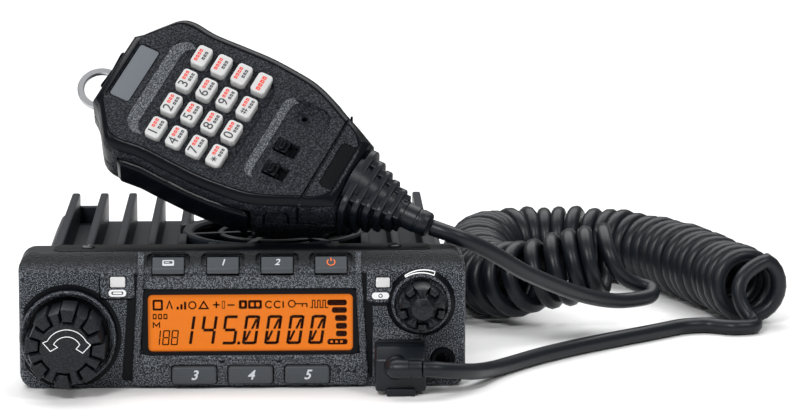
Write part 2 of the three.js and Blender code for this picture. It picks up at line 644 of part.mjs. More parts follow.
function slideSwitch([x, y]) {
  const left = x - SWITCH_SLOT.length / 2 + GAP;
  const body = box(left, left + SWITCH_SLIDER.length, y - SWITCH_SLIDER.width / 2,
    y + SWITCH_SLIDER.width / 2, -4.4, -0.6);
  const nib = box(left + 1.4, left + 3, y - SWITCH_SLIDER.width / 2,
    y + SWITCH_SLIDER.width / 2, -1, 0.5);
  return join(body, nib);
}

function micWindow() {
  const w = MIC_WINDOW;
  return upright(roundedRect(
    w.x - w.length / 2, w.x + w.length / 2, -w.width / 2, w.width / 2, 0.8), -1, -0.3, 2);
}

function micBoard() {
  const tail = box(20, 47, -12, 12, -8.2, -6.8);
  return join(box(-26, 33, -17.5, 17.5, -8.2, -6.8), tail);
}

function hangerRing() {
  const low = RING.depth - RING.thickness / 2;
  const high = RING.depth + RING.thickness / 2;
  const disc = post(RING.outer, low, high, RING.x, 0, 28);
  const tab = box(RING.x + RING.outer - 1.5, -29, -4, 4, low, high);
  return cut(join(disc, tab), post(RING.inner, low - 1, high + 1, RING.x, 0, 24));
}

function micBoot() {
  const profile = [[0, BOOT.start]];
  const ribs = 5;
  const pitch = (BOOT.ribs - BOOT.start) / ribs;
  for (let i = 0; i < ribs; i += 1) {
    const x = BOOT.start + i * pitch;
    const radius = 13.4 - 8 * Math.pow(i / ribs, 0.8);
    profile.push([radius, x], [radius - 0.7, x + pitch * 0.62], [radius - 2.4, x + pitch * 0.66]);
    profile.push([radius - 2.6, x + pitch]);
  }
  profile.push([4.6, BOOT.ribs], [4.3, BOOT.end - 0.6], [3.9, BOOT.end], [0, BOOT.end]);
  const points = profile.map(([r, x]) => new THREE.Vector2(r, x));
  return new THREE.LatheGeometry(points, 16).rotateZ(-Math.PI / 2).scale(1, 1, 0.86)
    .translate(0, 0, MIC_AXIS_DEPTH);
}

// ---------- assembly ----------

const radio = new THREE.Group();
radio.position.y = PANEL_Y;
radio.add(
  part('chassis_heatsink', chassisHeatsink(), CAST_METAL),
  part('bottom_cover', bottomCover(), CAST_METAL),
  part('front_bezel', frontBezel(), BLACK_PLASTIC),
  part('lcd_window', lcdWindow(), CLEAR),
  part('lcd_panel', lcdPanel(), AMBER),
  part('tx_lens', lens(TX_LENS), CLEAR),
  part('pwr_lens', lens(PWR_LENS), CLEAR),
  part('channel_knob', channelKnob(), KNOB_RUBBER),
  part('channel_encoder', channelEncoder(), STEEL),
  part('volume_knob', volumeKnob(), KNOB_RUBBER),
  part('volume_pot', volumePot(), STEEL),
  part('mic_socket', micSocket(), BLACK_PLASTIC),
  part('mic_plug', micPlug(), CORD_RUBBER),
  part('aux_jack', auxJack(), BLACK_PLASTIC),
  part('front_board', frontBoard(), CIRCUIT_BOARD),
  part('main_board', mainBoard(), CIRCUIT_BOARD),
  part('rf_power_module', powerModule(), BRIGHT_METAL),
  part('speaker', speaker(), STEEL),
  part('fan_frame', fanFrame(), BLACK_PLASTIC),
  part('fan_rotor', fanRotor(), BLACK_PLASTIC),
  part('fan_guard', fanGuard(), CAST_METAL),
  part('antenna_socket', antennaSocket(), BRIGHT_METAL),
  part('dc_power_inlet', powerInlet(), BLACK_PLASTIC),
  part('ext_speaker_jack', earJack(), BRIGHT_METAL),
);
LOWER_KEYS.forEach((x, i) => radio.add(part(`preset_key_${i + 3}`, lowerKey(x), KEY_PLASTIC)));
for (const [name, x] of Object.entries(TOP_KEYS)) radio.add(part(name, topKey(x), BLACK_PLASTIC));

const microphone = new THREE.Group();
microphone.rotation.z = MIC_TURN;
microphone.add(
  part('mic_front_shell', micFrontShell(), BLACK_PLASTIC),
  part('mic_rear_shell', micRearShell(), BLACK_PLASTIC),
  part('mic_window', micWindow(), GREY_PLATE),
  part('mic_board', micBoard(), CIRCUIT_BOARD),
  part('mic_boot', micBoot(), CORD_RUBBER),
  part('hanger_ring', hangerRing(), STEEL),
  part('ptt_bar', pttBar(), BLACK_PLASTIC),
  part('up_down_rocker', upDownRocker(), BLACK_PLASTIC),
);
for (const [name, place] of Object.entries(SWITCHES)) {
  microphone.add(part(name, slideSwitch(place), BLACK_PLASTIC));
}
KEY_NAMES.forEach((names, row) => {
  names.forEach((name, column) => microphone.add(part(name, micKey(row, column), WHITE_KEY)));
});
const lean = new THREE.Group();
lean.position.set(MIC_PLACE.x, MIC_PLACE.y + PANEL_Y, MIC_PLACE.z);
lean.rotation.x = MIC_LEAN;
lean.add(microphone);

const cord = new THREE.Group();
cord.add(
  part('mic_lead', tube(MIC_LEAD_ROUTE, CORD_RADIUS, CORD_SIDES, 30), CORD_RUBBER),
  part('curly_cord', tube(CURLY_ROUTE, COIL_RADIUS, 12, 30), CORD_RUBBER),
  part('plug_lead', tube(PLUG_LEAD_ROUTE, CORD_RADIUS, CORD_SIDES, 40), CORD_RUBBER),
);

const transceiver = new THREE.Group();
transceiver.add(radio, lean, cord);

export default transceiver;
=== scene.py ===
"""A mobile transceiver with a hand microphone on a curly cord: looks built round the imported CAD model.

Shapes are drawn in millimetres in one of three local frames, each turned into the row frame by a matrix:
PANEL (x right, y up, z forward from the panel), DECK (x right, y back from the panel, z up) and
MIC (x along the microphone from head to cord, y across it, z out of its face).
"""

import math

import bmesh
import bpy
import numpy as np
from mathutils import Matrix, Vector, geometry


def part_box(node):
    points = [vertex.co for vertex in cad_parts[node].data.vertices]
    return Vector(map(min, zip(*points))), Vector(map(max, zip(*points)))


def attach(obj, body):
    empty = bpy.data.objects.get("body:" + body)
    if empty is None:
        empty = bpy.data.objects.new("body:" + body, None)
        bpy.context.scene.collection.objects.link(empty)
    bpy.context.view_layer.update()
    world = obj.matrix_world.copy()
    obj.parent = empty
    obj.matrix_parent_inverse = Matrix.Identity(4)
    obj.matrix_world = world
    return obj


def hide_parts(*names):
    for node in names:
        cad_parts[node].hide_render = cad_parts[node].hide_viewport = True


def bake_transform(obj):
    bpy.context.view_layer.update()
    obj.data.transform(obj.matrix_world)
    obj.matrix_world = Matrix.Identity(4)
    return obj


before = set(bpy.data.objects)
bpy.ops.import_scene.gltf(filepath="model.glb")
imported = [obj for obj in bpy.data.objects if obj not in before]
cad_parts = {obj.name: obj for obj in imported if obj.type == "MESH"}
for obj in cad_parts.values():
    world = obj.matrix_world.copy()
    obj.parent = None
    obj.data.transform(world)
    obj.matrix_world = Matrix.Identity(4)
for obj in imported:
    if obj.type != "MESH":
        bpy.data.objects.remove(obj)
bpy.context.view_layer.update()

MM = 0.001
TAU = 2 * math.pi

# ---------- places taken from the frame ----------

BEZEL_DEPTH = 18.0
panel_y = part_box("front_bezel")[1].y - BEZEL_DEPTH * MM
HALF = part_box("front_bezel")[1].x / MM
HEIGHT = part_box("front_bezel")[1].z / MM
CHASSIS_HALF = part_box("chassis_heatsink")[1].x / MM
CHASSIS_FRONT = (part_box("chassis_heatsink")[0].y - panel_y) / MM
CHASSIS_REAR = (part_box("chassis_heatsink")[1].y - panel_y) / MM
FIN_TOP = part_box("chassis_heatsink")[1].z / MM

DECK = Matrix.Translation((0, panel_y, 0)) @ Matrix.Scale(MM, 4)
PANEL = DECK @ Matrix(((1, 0, 0, 0), (0, 0, -1, 0), (0, 1, 0, 0), (0, 0, 0, 1)))
MIC_PLACE = (-0.011, 0.033 + panel_y, 0.0879)
MIC_LEAN, MIC_TURN = math.radians(51), math.radians(-28.25)
MIC = (Matrix.Translation(MIC_PLACE) @ Matrix.Rotation(MIC_LEAN, 4, "X")
       @ Matrix.Rotation(MIC_TURN, 4, "Z") @ Matrix.Scale(MM, 4))
# Sections drawn as (forward, up) in the panel's side view and run along x.
SIDE = Matrix(((0, 0, 1, 0), (0, 1, 0, 0), (1, 0, 0, 0), (0, 0, 0, 1)))

# ---------- camera, light and floor ----------

LENS = 161.5
CAMERA_PLACE = (0.0162, panel_y - 1.1439, 0.2556)
CAMERA_DIP, CAMERA_TURN = 9.74, 1.75


def make_camera():
    data = bpy.data.cameras.new("camera")
    data.lens = LENS
    data.sensor_width = 36
    data.clip_start = 0.05
    data.clip_end = 20
    camera = bpy.data.objects.new("camera", data)
    camera.location = CAMERA_PLACE
    camera.rotation_euler = (math.radians(90 - CAMERA_DIP), 0, math.radians(-CAMERA_TURN))
    bpy.context.scene.collection.objects.link(camera)
    bpy.context.scene.camera = camera


def area_light(name, place, aim, size, power):
    data = bpy.data.lights.new(name, "AREA")
    data.shape = "RECTANGLE"
    data.size, data.size_y = size
    data.energy = power
    lamp = bpy.data.objects.new(name, data)
    lamp.location = place
    lamp.rotation_euler = (Vector(aim) - Vector(place)).to_track_quat("-Z", "Y").to_euler()
    bpy.context.scene.collection.objects.link(lamp)


def make_stage():
    bpy.ops.mesh.primitive_plane_add(size=12)
    floor = bpy.context.object
    floor.name = "floor"
    floor.data.materials.append(surface("floor", (0.93, 0.93, 0.93), 0.6, specular=0.2))
    world = bpy.data.worlds.new("studio")
    world.use_nodes = True
    background = world.node_tree.nodes["Background"]
    background.inputs["Color"].default_value = (1, 1, 1, 1)
    background.inputs["Strength"].default_value = 0.22
    bpy.context.scene.world = world
    bpy.context.scene.view_settings.view_transform = "Standard"
    area_light("overhead_light", (0.0, 1.0, 1.8), (0, 0.35, 0), (2.8, 1.9), 54)
    area_light("key_light", (-0.4, -1.25, 1.05), (0, 0, 0.04), (0.35, 0.3), 13)
    area_light("right_light", (0.85, -0.85, 1.05), (0, 0, 0.04), (0.4, 0.4), 6)
    area_light("left_light", (-0.9, -0.5, 0.6), (0, 0, 0.03), (0.4, 0.5), 3)


# ---------- materials ----------


def surface(name, color, roughness, metallic=0.0, specular=0.5):
    """A plain material: the colour and finish are set on the shader itself."""
    material = bpy.data.materials.new(name)
    material.use_nodes = True
    shader = material.node_tree.nodes["Principled BSDF"]
    shader.inputs["Base Color"].default_value = (*color, 1)
    shader.inputs["Roughness"].default_value = roughness
    shader.inputs["Metallic"].default_value = metallic
    shader.inputs["Specular IOR Level"].default_value = specular
    return material


def add_node(tree, kind, **inputs):
    """A new shader node. Each input takes a value, or another node's socket. In names, _ is a space."""
    made = tree.nodes.new(kind)
    for name, value in inputs.items():
        socket = made.inputs[name.replace("_", " ")]
        if isinstance(value, bpy.types.NodeSocket):
            tree.links.new(value, socket)
        else:
            socket.default_value = value
    return made


def object_place(tree):
    return tree.nodes.new("ShaderNodeTexCoord").outputs["Object"]


def add_bump(tree, height, depth):
    """Joins a height to the shader as a bump. The depth is in metres."""
    bump = add_node(tree, "ShaderNodeBump", Distance=depth, Strength=1.0, Height=height)
    tree.links.new(bump.outputs["Normal"], tree.nodes["Principled BSDF"].inputs["Normal"])


def add_ramp(tree, amount, first, last):
    """A colour ramp driven by an amount."""
    ramp = add_node(tree, "ShaderNodeValToRGB", Fac=amount)
    ramp.color_ramp.elements[0].color = (*first, 1)
    ramp.color_ramp.elements[1].color = (*last, 1)
    return ramp


def grained(material, scale, depth):
    """Adds a fine moulded grain, as a bump only. The scale is in grains per metre, the depth in metres."""
    tree = material.node_tree
    noise = add_node(tree, "ShaderNodeTexNoise", Vector=object_place(tree), Scale=scale, Detail=2.0)
    add_bump(tree, noise.outputs["Fac"], depth)
    return material


def speckled(material, scale, dark, light, low=0.46, high=0.66):
    """Paints small pale flecks into the colour: painted glints, where a grained moulding catches the light.
    """
    tree = material.node_tree
    noise = add_node(tree, "ShaderNodeTexNoise", Vector=object_place(tree), Scale=scale, Detail=1.0)
    ramp = add_ramp(tree, noise.outputs["Fac"], dark, light)
    ramp.color_ramp.elements[0].position = low
    ramp.color_ramp.elements[1].position = high
    tree.links.new(ramp.outputs["Color"], tree.nodes["Principled BSDF"].inputs["Base Color"])
    return material


def faded_above(material, start, end, dark):
    """Lets the flecks die out between two heights, given in millimetres."""
    tree = material.node_tree
    shader = tree.nodes["Principled BSDF"]
    flecks = shader.inputs["Base Color"].links[0].from_socket
    parts = add_node(tree, "ShaderNodeSeparateXYZ", Vector=object_place(tree))
    fade = add_node(tree, "ShaderNodeMapRange", Value=parts.outputs["Z"], From_Min=start * MM,
                    From_Max=end * MM)
    mix = tree.nodes.new("ShaderNodeMix")
    mix.data_type = "RGBA"
    mix.inputs["B"].default_value = (*dark, 1)
    tree.links.new(fade.outputs["Result"], mix.inputs["Factor"])
    tree.links.new(flecks, mix.inputs["A"])
    tree.links.new(mix.outputs["Result"], shader.inputs["Base Color"])


def weave(name):
    """A fine dark basket weave, as a bump."""
    material = surface(name, (0.0025, 0.003, 0.004), 0.5, specular=0.08)
    tree = material.node_tree
    checks = add_node(tree, "ShaderNodeTexChecker", Vector=object_place(tree), Scale=1400)
    add_bump(tree, checks.outputs["Fac"], 0.0002)
    return material


def display_with_painted_shadow(name, color, shade, strength):
    """A lit amber panel with the frame's shadow painted in: its light is painted dimmer towards the edges,
    most at the top and the left.
    """
    material = surface(name, (0.05, 0.02, 0.005), 0.6, specular=0.1)
    tree = material.node_tree
    shader = tree.nodes["Principled BSDF"]
    low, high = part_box("lcd_window")
    split = add_node(tree, "ShaderNodeSeparateXYZ", Vector=object_place(tree))
    # Each edge of the window, and how far in from it, in metres, the painted shadow fades out and the light
    # reaches its full strength.
    edges = (("X", low.x, 0.0024), ("X", high.x, -0.0019), ("Z", high.z, -0.0032), ("Z", low.z, 0.0014))
    amount = None
    for axis, edge, reach in edges:
        fall = add_node(tree, "ShaderNodeMapRange", Value=split.outputs[axis], From_Min=edge,
                        From_Max=edge + reach)
        fall.interpolation_type = "SMOOTHSTEP"
        if amount is None:
            amount = fall.outputs["Result"]
            continue
        product = tree.nodes.new("ShaderNodeMath")
        product.operation = "MULTIPLY"
        tree.links.new(amount, product.inputs[0])
        tree.links.new(fall.outputs["Result"], product.inputs[1])
        amount = product.outputs["Value"]
    ramp = add_ramp(tree, amount, shade, color)
    tree.links.new(ramp.outputs["Color"], shader.inputs["Emission Color"])
    shader.inputs["Emission Strength"].default_value = strength
    return material


# The fleck colours below paint the glints of the moulded grain into the base colour.
PANEL_DARK, PANEL_FLECK = (0.0025, 0.0035, 0.0055), (0.135, 0.15, 0.175)
MIC_DARK, MIC_FLECK = (0.004, 0.0045, 0.007), (0.036, 0.041, 0.05)
KNOB_DARK, KNOB_FLECK = (0.004, 0.005, 0.007), (0.018, 0.021, 0.026)
# A lighter pair for the painted highlight on the microphone's field slopes.
PAINTED_HIGHLIGHT_DARK, PAINTED_HIGHLIGHT_FLECK = (0.02, 0.022, 0.026), (0.2, 0.215, 0.24)
panel_plastic = speckled(grained(
    surface("panel_plastic", PANEL_DARK, 0.34, specular=0.35), 2400, 0.0003), 2500, PANEL_DARK, PANEL_FLECK,
    low=0.515, high=0.57)
bezel_plastic = speckled(grained(
    surface("bezel_plastic", PANEL_DARK, 0.34, specular=0.25), 2400, 0.0002), 2500, PANEL_DARK, PANEL_FLECK,
    low=0.515, high=0.57)
faded_above(bezel_plastic, HEIGHT - 6.5, HEIGHT - 2.5, PANEL_DARK)
smooth_plastic = grained(surface("smooth_plastic", (0.0025, 0.003, 0.0045), 0.36, specular=0.1), 900, 0.00002)
knob_plastic = speckled(grained(
    surface("knob_plastic", KNOB_DARK, 0.33, specular=0.22), 2300, 0.0001), 2500, KNOB_DARK, KNOB_FLECK)
mic_plastic = speckled(grained(
    surface("mic_plastic", MIC_DARK, 0.34, specular=0.12), 1500, 0.0006), 1700, MIC_DARK, MIC_FLECK)
# A painted highlight: a lighter base with brighter flecks, laid on the head-end slopes of the microphone's
# sunken fields.
mic_painted_highlight = speckled(grained(
    surface("mic_painted_highlight", MIC_DARK, 0.34, specular=0.3), 2300, 0.0003), 2600, PAINTED_HIGHLIGHT_DARK, PAINTED_HIGHLIGHT_FLECK)
mic_smooth = grained(surface("mic_smooth", (0.0025, 0.003, 0.005), 0.26, specular=0.12), 1500, 0.00004)
cast_paint = grained(surface("cast_paint", (0.01, 0.0135, 0.019), 0.42, specular=0.2), 1500, 0.00005)
cover_steel = grained(surface("cover_steel", (0.02, 0.024, 0.03), 0.5, metallic=0.2), 1500, 0.00004)
key_plastic = grained(surface("key_plastic", (0.05, 0.056, 0.063), 0.45, specular=0.3), 1800, 0.00004)
legend_paint = surface("legend_paint", (0.55, 0.57, 0.6), 0.6)
white_paint = surface("white_paint", (0.8, 0.81, 0.82), 0.6)
orange_paint = surface("orange_paint", (0.85, 0.17, 0.03), 0.6)
red_paint = surface("red_paint", (0.72, 0.045, 0.025), 0.6)
dark_paint = surface("dark_paint", (0.03, 0.032, 0.036), 0.6)
lens_white = surface("lens_white", (0.62, 0.62, 0.62), 0.3)
white_key = surface("white_key", (0.52, 0.52, 0.52), 0.4)
inlay_weave = weave("inlay_weave")
dark_screw = surface("dark_screw", (0.05, 0.052, 0.055), 0.35, metallic=0.9)
plate_grey = grained(surface("plate_grey", (0.12, 0.133, 0.15), 0.5, specular=0.3), 2500, 0.00003)
steel = grained(surface("steel", (0.5, 0.51, 0.53), 0.38, metallic=1.0), 700, 0.00001)
plated = surface("plated", (0.78, 0.78, 0.77), 0.18, metallic=1.0)
gold = surface("gold", (0.83, 0.6, 0.25), 0.25, metallic=1.0)
cord_rubber = grained(surface("cord_rubber", (0.005, 0.007, 0.0105), 0.38, specular=0.3), 1200, 0.00003)
board_green = grained(surface("board_green", (0.012, 0.1, 0.035), 0.4), 900, 0.00003)
insulator = surface("insulator", (0.75, 0.74, 0.7), 0.4)
symbol_ink = surface("symbol_ink", (0.02, 0.004, 0.0015), 0.8, specular=0.02)
# The amber display, with the frame's shadow painted round its edges.
amber = display_with_painted_shadow("amber", (0.86, 0.2, 0.01), (0.33, 0.06, 0.004), 0.97)


def clear_sheet(name):
    material = surface(name, (0.02, 0.02, 0.02), 0.1)
    material.node_tree.nodes["Principled BSDF"].inputs["Alpha"].default_value = 0.04
    return material


clear = clear_sheet("clear")

# ---------- outlines: functions that give an outline grown by some distance ----------


def arc(cx, cy, radius, start, end, steps):
    return [(cx + radius * math.cos(start + (end - start) * i / steps),
             cy + radius * math.sin(start + (end - start) * i / steps)) for i in range(steps + 1)]


def rounded(left, right, low, high, radius, steps=6):
    """A rounded rectangle. Its corner radius shrinks with it."""
    def outline(grow=0.0):
        x0, x1, y0, y1 = left - grow, right + grow, low - grow, high + grow
        r = min(max(radius + grow, 0.05), (x1 - x0) / 2 - 1e-3, (y1 - y0) / 2 - 1e-3)
        quarter = math.pi / 2
        return (arc(x1 - r, y0 + r, r, -quarter, 0, steps) + arc(x1 - r, y1 - r, r, 0, quarter, steps)
                + arc(x0 + r, y1 - r, r, quarter, 2 * quarter, steps)
                + arc(x0 + r, y0 + r, r, 2 * quarter, 3 * quarter, steps))
    return outline


def circle(cx, cy, radius, steps=72):
    def outline(grow=0.0):
        return [(cx + (radius + grow) * math.cos(TAU * i / steps),
                 cy + (radius + grow) * math.sin(TAU * i / steps)) for i in range(steps)]
    return outline


def corners(points, radius=0.6, steps=4):
    """A polygon listed anticlockwise as (x, y) or (x, y, corner radius). It grows along its normals."""
    def outline(grow=0.0):
        made = []
        for i, point in enumerate(points):
            here = Vector(point[:2])
            before = Vector(points[i - 1][:2])
            after = Vector(points[(i + 1) % len(points)][:2])
            a = (here - before).normalized()
            b = (after - here).normalized()
            turn = a.x * b.y - a.y * b.x
            across = (Vector((a.y, -a.x)) + Vector((b.y, -b.x))) / (1 + a.dot(b))
            corner = here + across * grow
            base = point[2] if len(point) > 2 else radius
            r = max(base + (grow if turn > 0 else -grow), 0.02)
            reach = min(r * math.tan(math.acos(max(-1, min(1, a.dot(b)))) / 2), 0.45 * (here - before).length,
                        0.45 * (after - here).length)
            first, last = corner - a * reach, corner + b * reach
            for k in range(steps + 1):
                t = k / steps
                made.append(tuple(first * (1 - t) ** 2 + corner * 2 * t * (1 - t) + last * t * t))
        return made
    return outline


def gear(cx, cy, radius, count, root, half_outer, half_inner, phase):
    """A round outline with `count` notches down to the root radius. Growing it narrows the notches."""
    def outline(grow=0.0):
        made = []
        r, inner = radius + grow, root + grow
        a, b = (half_outer - grow) / radius, (half_inner - grow) / root
        for i in range(count):
            middle = phase + TAU * i / count
            made += [(cx + inner * math.cos(middle + b * s), cy + inner * math.sin(middle + b * s))
                     for s in (-1, -0.33, 0.33, 1)]
            start, end = middle + a, middle + TAU / count - a
            made += arc(cx, cy, r, start, end, 6)
        return made
    return outline


def spline(points, steps):
    """Points along a smooth line through the given points, `steps` of them to each span."""
    line = [Vector(p) for p in points]
    line = [2 * line[0] - line[1], *line, 2 * line[-1] - line[-2]]
    made = []
    for i in range(1, len(line) - 2):
        p0, p1, p2, p3 = line[i - 1:i + 3]
        for k in range(steps):
            t = k / steps
            made.append(0.5 * (2 * p1 + (p2 - p0) * t + (2 * p0 - 5 * p1 + 4 * p2 - p3) * t * t
                               + (3 * p1 - p0 - 3 * p2 + p3) * t ** 3))
    return [*made, line[-2]]


# ---------- mesh helpers ----------

# Edges that bend by more degrees than this are drawn sharp.
SHARP = 32


class Moulding:
    """A solid built from closed outlines at chosen heights, walls between them and flats across them."""

    def __init__(self):
        self.bm = bmesh.new()

    def ring(self, points, height=0.0):
        return [self.bm.verts.new((p[0], p[1], p[2] if len(p) > 2 else height)) for p in points]

    def wall(self, first, second):
        for i in range(len(first)):
            j = (i + 1) % len(first)
            self.bm.faces.new((first[i], first[j], second[j], second[i]))

    def steps(self, outline, profile, start=None):
        """Rings through [(grow, height), ...] joined by walls. Returns the first and the last ring."""
        rings = [self.ring(outline(grow), height) for grow, height in profile]
        if start is not None:
            rings.insert(0, start)
        for a, b in zip(rings, rings[1:]):
            self.wall(a, b)
        return rings[0], rings[-1]

    def flat(self, outer, *holes):
        """Fills between an outer ring and the rings inside it."""
        verts, edges = [], []
        for loop in (outer, *holes):
            base = len(verts)
            edges += [(base + i, base + (i + 1) % len(loop)) for i in range(len(loop))]
            verts += loop
        points = [v.co.xy for v in verts]
        made, _, faces, origin, _, _ = geometry.delaunay_2d_cdt(points, edges, [], 0, 1e-7)
        tails = np.array([points[a] for a, b in edges])
        heads = np.array([points[b] for a, b in edges])
        rise = heads[:, 1] - tails[:, 1]
        rise[rise == 0] = 1e-12
        spare = {i: self.bm.verts.new((*made[i], outer[0].co.z)) for i in range(len(made)) if not origin[i]}
        for face in faces:
            cx = sum(made[i].x for i in face) / 3
            cy = sum(made[i].y for i in face) / 3
            crosses = (tails[:, 1] > cy) != (heads[:, 1] > cy)
            meets = tails[:, 0] + (cy - tails[:, 1]) * (heads[:, 0] - tails[:, 0]) / rise
            if np.count_nonzero(crosses & (cx < meets)) % 2 == 0:
                continue
            corner = [spare.get(i) or verts[origin[i][0]] for i in face]
            if len(set(corner)) == 3 and not self.bm.faces.get(corner):
                self.bm.faces.new(corner)


def quarter_round(ease, height, up, steps=3):
    """Profile points round an edge: from the wall to the top when `up`, else from the bottom to the wall."""
    made = []
    for k in range(steps + 1):
        a = math.pi / 2 * k / steps
        if up:
            made.append((-ease * (1 - math.cos(a)), height - ease * (1 - math.sin(a))))
        else:
            made.append((-ease * (1 - math.sin(a)), height + ease * (1 - math.cos(a))))
    return made


def prism(outline, low, high, ease=0.0, low_ease=None):
    """A solid with the outline's section between two heights, its edges rounded by `ease`."""
    low_ease = ease if low_ease is None else low_ease
    profile = quarter_round(low_ease, low, False) if low_ease else [(0, low)]
    profile += quarter_round(ease, high, True) if ease else [(0, high)]
    m = Moulding()
    first, last = m.steps(outline, profile)
    m.flat(first)
    m.flat(last)
    return m.bm


def washer(outer, inner, low, high, ease=0.2):
    """A solid between two outlines and two heights, its top edges rounded."""
    m = Moulding()
    outer_low, outer_high = m.steps(outer, [(0, low), *quarter_round(ease, high, True)])
    inward = [(-grow, height) for grow, height in quarter_round(ease, high, True)]
    inner_low, inner_high = m.steps(inner, [(0, low), *inward])
    m.flat(outer_low, inner_low)
    m.flat(outer_high, inner_high)
    return m.bm


def turned(profile, steps=72, closed=False):
    """A solid turned round local Z through [(radius, height), ...], either closed or ending on the axis."""
    bm = bmesh.new()
    rings = []
    for radius, height in profile:
        count = 1 if radius < 1e-6 else steps
        turns = [TAU * i / steps for i in range(count)]
        rings.append([bm.verts.new((radius * math.cos(a), radius * math.sin(a), height)) for a in turns])
    pairs = list(zip(rings, rings[1:]))
    if closed:
        pairs.append((rings[-1], rings[0]))
    for a, b in pairs:
        for i in range(steps):
            j = (i + 1) % steps
            corner = list(dict.fromkeys([a[i % len(a)], a[j % len(a)], b[j % len(b)], b[i % len(b)]]))
            if len(corner) > 2:
                bm.faces.new(corner)
    return bm


def swept(line, radius, sides=12):
    """A round tube along a line of points, with a frame that doesn't twist."""
    bm = bmesh.new()
    count = len(line)
    line = [Vector(p) for p in line]
    tangents = [(line[min(i + 1, count - 1)] - line[max(i - 1, 0)]).normalized() for i in range(count)]
    side = tangents[0].orthogonal().normalized()
    rings = []
    for point, tangent in zip(line, tangents):
        side = (side - tangent * side.dot(tangent)).normalized()
        other = tangent.cross(side)
        turns = [TAU * k / sides for k in range(sides)]
        rings.append([bm.verts.new(point + (side * math.cos(a) + other * math.sin(a)) * radius)
                      for a in turns])
    for a, b in zip(rings, rings[1:]):
        for k in range(sides):
            bm.faces.new((a[k], a[(k + 1) % sides], b[(k + 1) % sides], b[k]))
    bm.faces.new(rings[0][::-1])
    bm.faces.new(rings[-1])
    return bm


def ribbon(points, width, height, closed=False):
    """A flat line of some width drawn along (x, y) points at a height, with mitred corners."""
    bm = bmesh.new()
    line = [Vector(p) for p in points]
    count = len(line)
    pairs = []
    for i, here in enumerate(line):
        a = (here - line[i - 1]).normalized() if i or closed else (line[1] - here).normalized()
        b = (line[(i + 1) % count] - here).normalized() if i < count - 1 or closed else a
        across = (Vector((a.y, -a.x)) + Vector((b.y, -b.x))) / max(1 + a.dot(b), 0.3) * width / 2
        pairs.append([bm.verts.new((*(here + across), height)), bm.verts.new((*(here - across), height))])
    spans = list(zip(pairs, pairs[1:]))
    if closed:
        spans.append((pairs[-1], pairs[0]))
    for (a, b), (c, d) in spans:
        bm.faces.new((a, c, d, b))
    return bm


def plate(outline, height, *holes):
    """A flat shape at a height, with holes."""
    m = Moulding()
    m.flat(m.ring(outline(), height), *[m.ring(hole(), height) for hole in holes])
    return m.bm


def numeral(text, size, height=0.0, shear=0.0, bold=0.0):
    """A flat number centred on the origin."""
    curve = bpy.data.curves.new("numeral", "FONT")
    curve.body = text
    curve.size = size
    curve.shear = shear
    curve.offset = bold
    curve.align_x = "CENTER"
    curve.align_y = "CENTER"
    curve.resolution_u = 3
    holder = bpy.data.objects.new("numeral", curve)
    mesh = bpy.data.meshes.new_from_object(holder)
    bm = bmesh.new()
    bm.from_mesh(mesh)
    bpy.data.objects.remove(holder)
    bpy.data.curves.remove(curve)
    bpy.data.meshes.remove(mesh)
    return shifted(bm, z=height)


def merged(*parts):
    """One bmesh holding several."""
    whole = bmesh.new()
    for part in parts:
        mesh = bpy.data.meshes.new("part")
        part.to_mesh(mesh)
        part.free()
        whole.from_mesh(mesh)
        bpy.data.meshes.remove(mesh)
    return whole


def shifted(bm, x=0.0, y=0.0, z=0.0):
    bm.transform(Matrix.Translation((x, y, z)))
    return bm


def turned_by(bm, degrees):
    bm.transform(Matrix.Rotation(math.radians(degrees), 4, "Z"))
    return bm


def put(bm, matrix):
    bm.transform(matrix)
    return bm


def add_piece(name, bm, place, material, body, smooth=SHARP):
    """Turns a bmesh drawn in a local frame into a finished piece that rides on a body."""
    bm.transform(place)
    bmesh.ops.recalc_face_normals(bm, faces=bm.faces)
    mesh = bpy.data.meshes.new(name)
    bm.to_mesh(mesh)
    bm.free()
    mesh.materials.append(material)
    mesh.shade_smooth()
    mesh.set_sharp_from_angle(angle=math.radians(smooth))
    piece = bpy.data.objects.new(name, mesh)
    bpy.context.scene.collection.objects.link(piece)
    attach(piece, body)
    return piece


def carve(piece, cutters):
    """Takes closed bmeshes, given in the row frame, out of a piece."""
    whole = merged(*cutters)
    bmesh.ops.recalc_face_normals(whole, faces=whole.faces)
    mesh = bpy.data.meshes.new("cutter")
    whole.to_mesh(mesh)
    whole.free()
    tool = bpy.data.objects.new("cutter", mesh)
    bpy.context.scene.collection.objects.link(tool)
    modifier = piece.modifiers.new("cut", "BOOLEAN")
    modifier.object = tool
    modifier.solver = "EXACT"
    modifier.use_self = True
    carved = bpy.data.meshes.new_from_object(piece.evaluated_get(bpy.context.evaluated_depsgraph_get()))
    piece.modifiers.clear()
    piece.data = carved
    carved.shade_smooth()
    carved.set_sharp_from_angle(angle=math.radians(SHARP))
    bpy.data.objects.remove(tool)
    bpy.data.meshes.remove(mesh)
    return piece


def stand_in(node, name, bm, place, material, body, smooth=SHARP):
    """A finished piece that is shown in place of a CAD node."""
    piece = add_piece(name, bm, place, material, body, smooth)
    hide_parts(node)
    return piece


def housing_part(name, bm, material, place=PANEL, cutters=()):
    """A piece of the front housing. The cutters are closed shapes in the panel's frame."""
    piece = stand_in("front_bezel", name, bm, place, material, "root")
    if cutters:
        carve(piece, [put(tool, PANEL) for tool in cutters])


def mic_part(name, bm, material, cutters=(), smooth=SHARP):
    """A piece fixed to the microphone. The cutters are closed shapes in the microphone's frame."""
    piece = add_piece(name, bm, MIC, material, "microphone", smooth)
    if cutters:
        carve(piece, [put(tool, MIC) for tool in cutters])
    return piece


# ---------- radio: front housing ----------

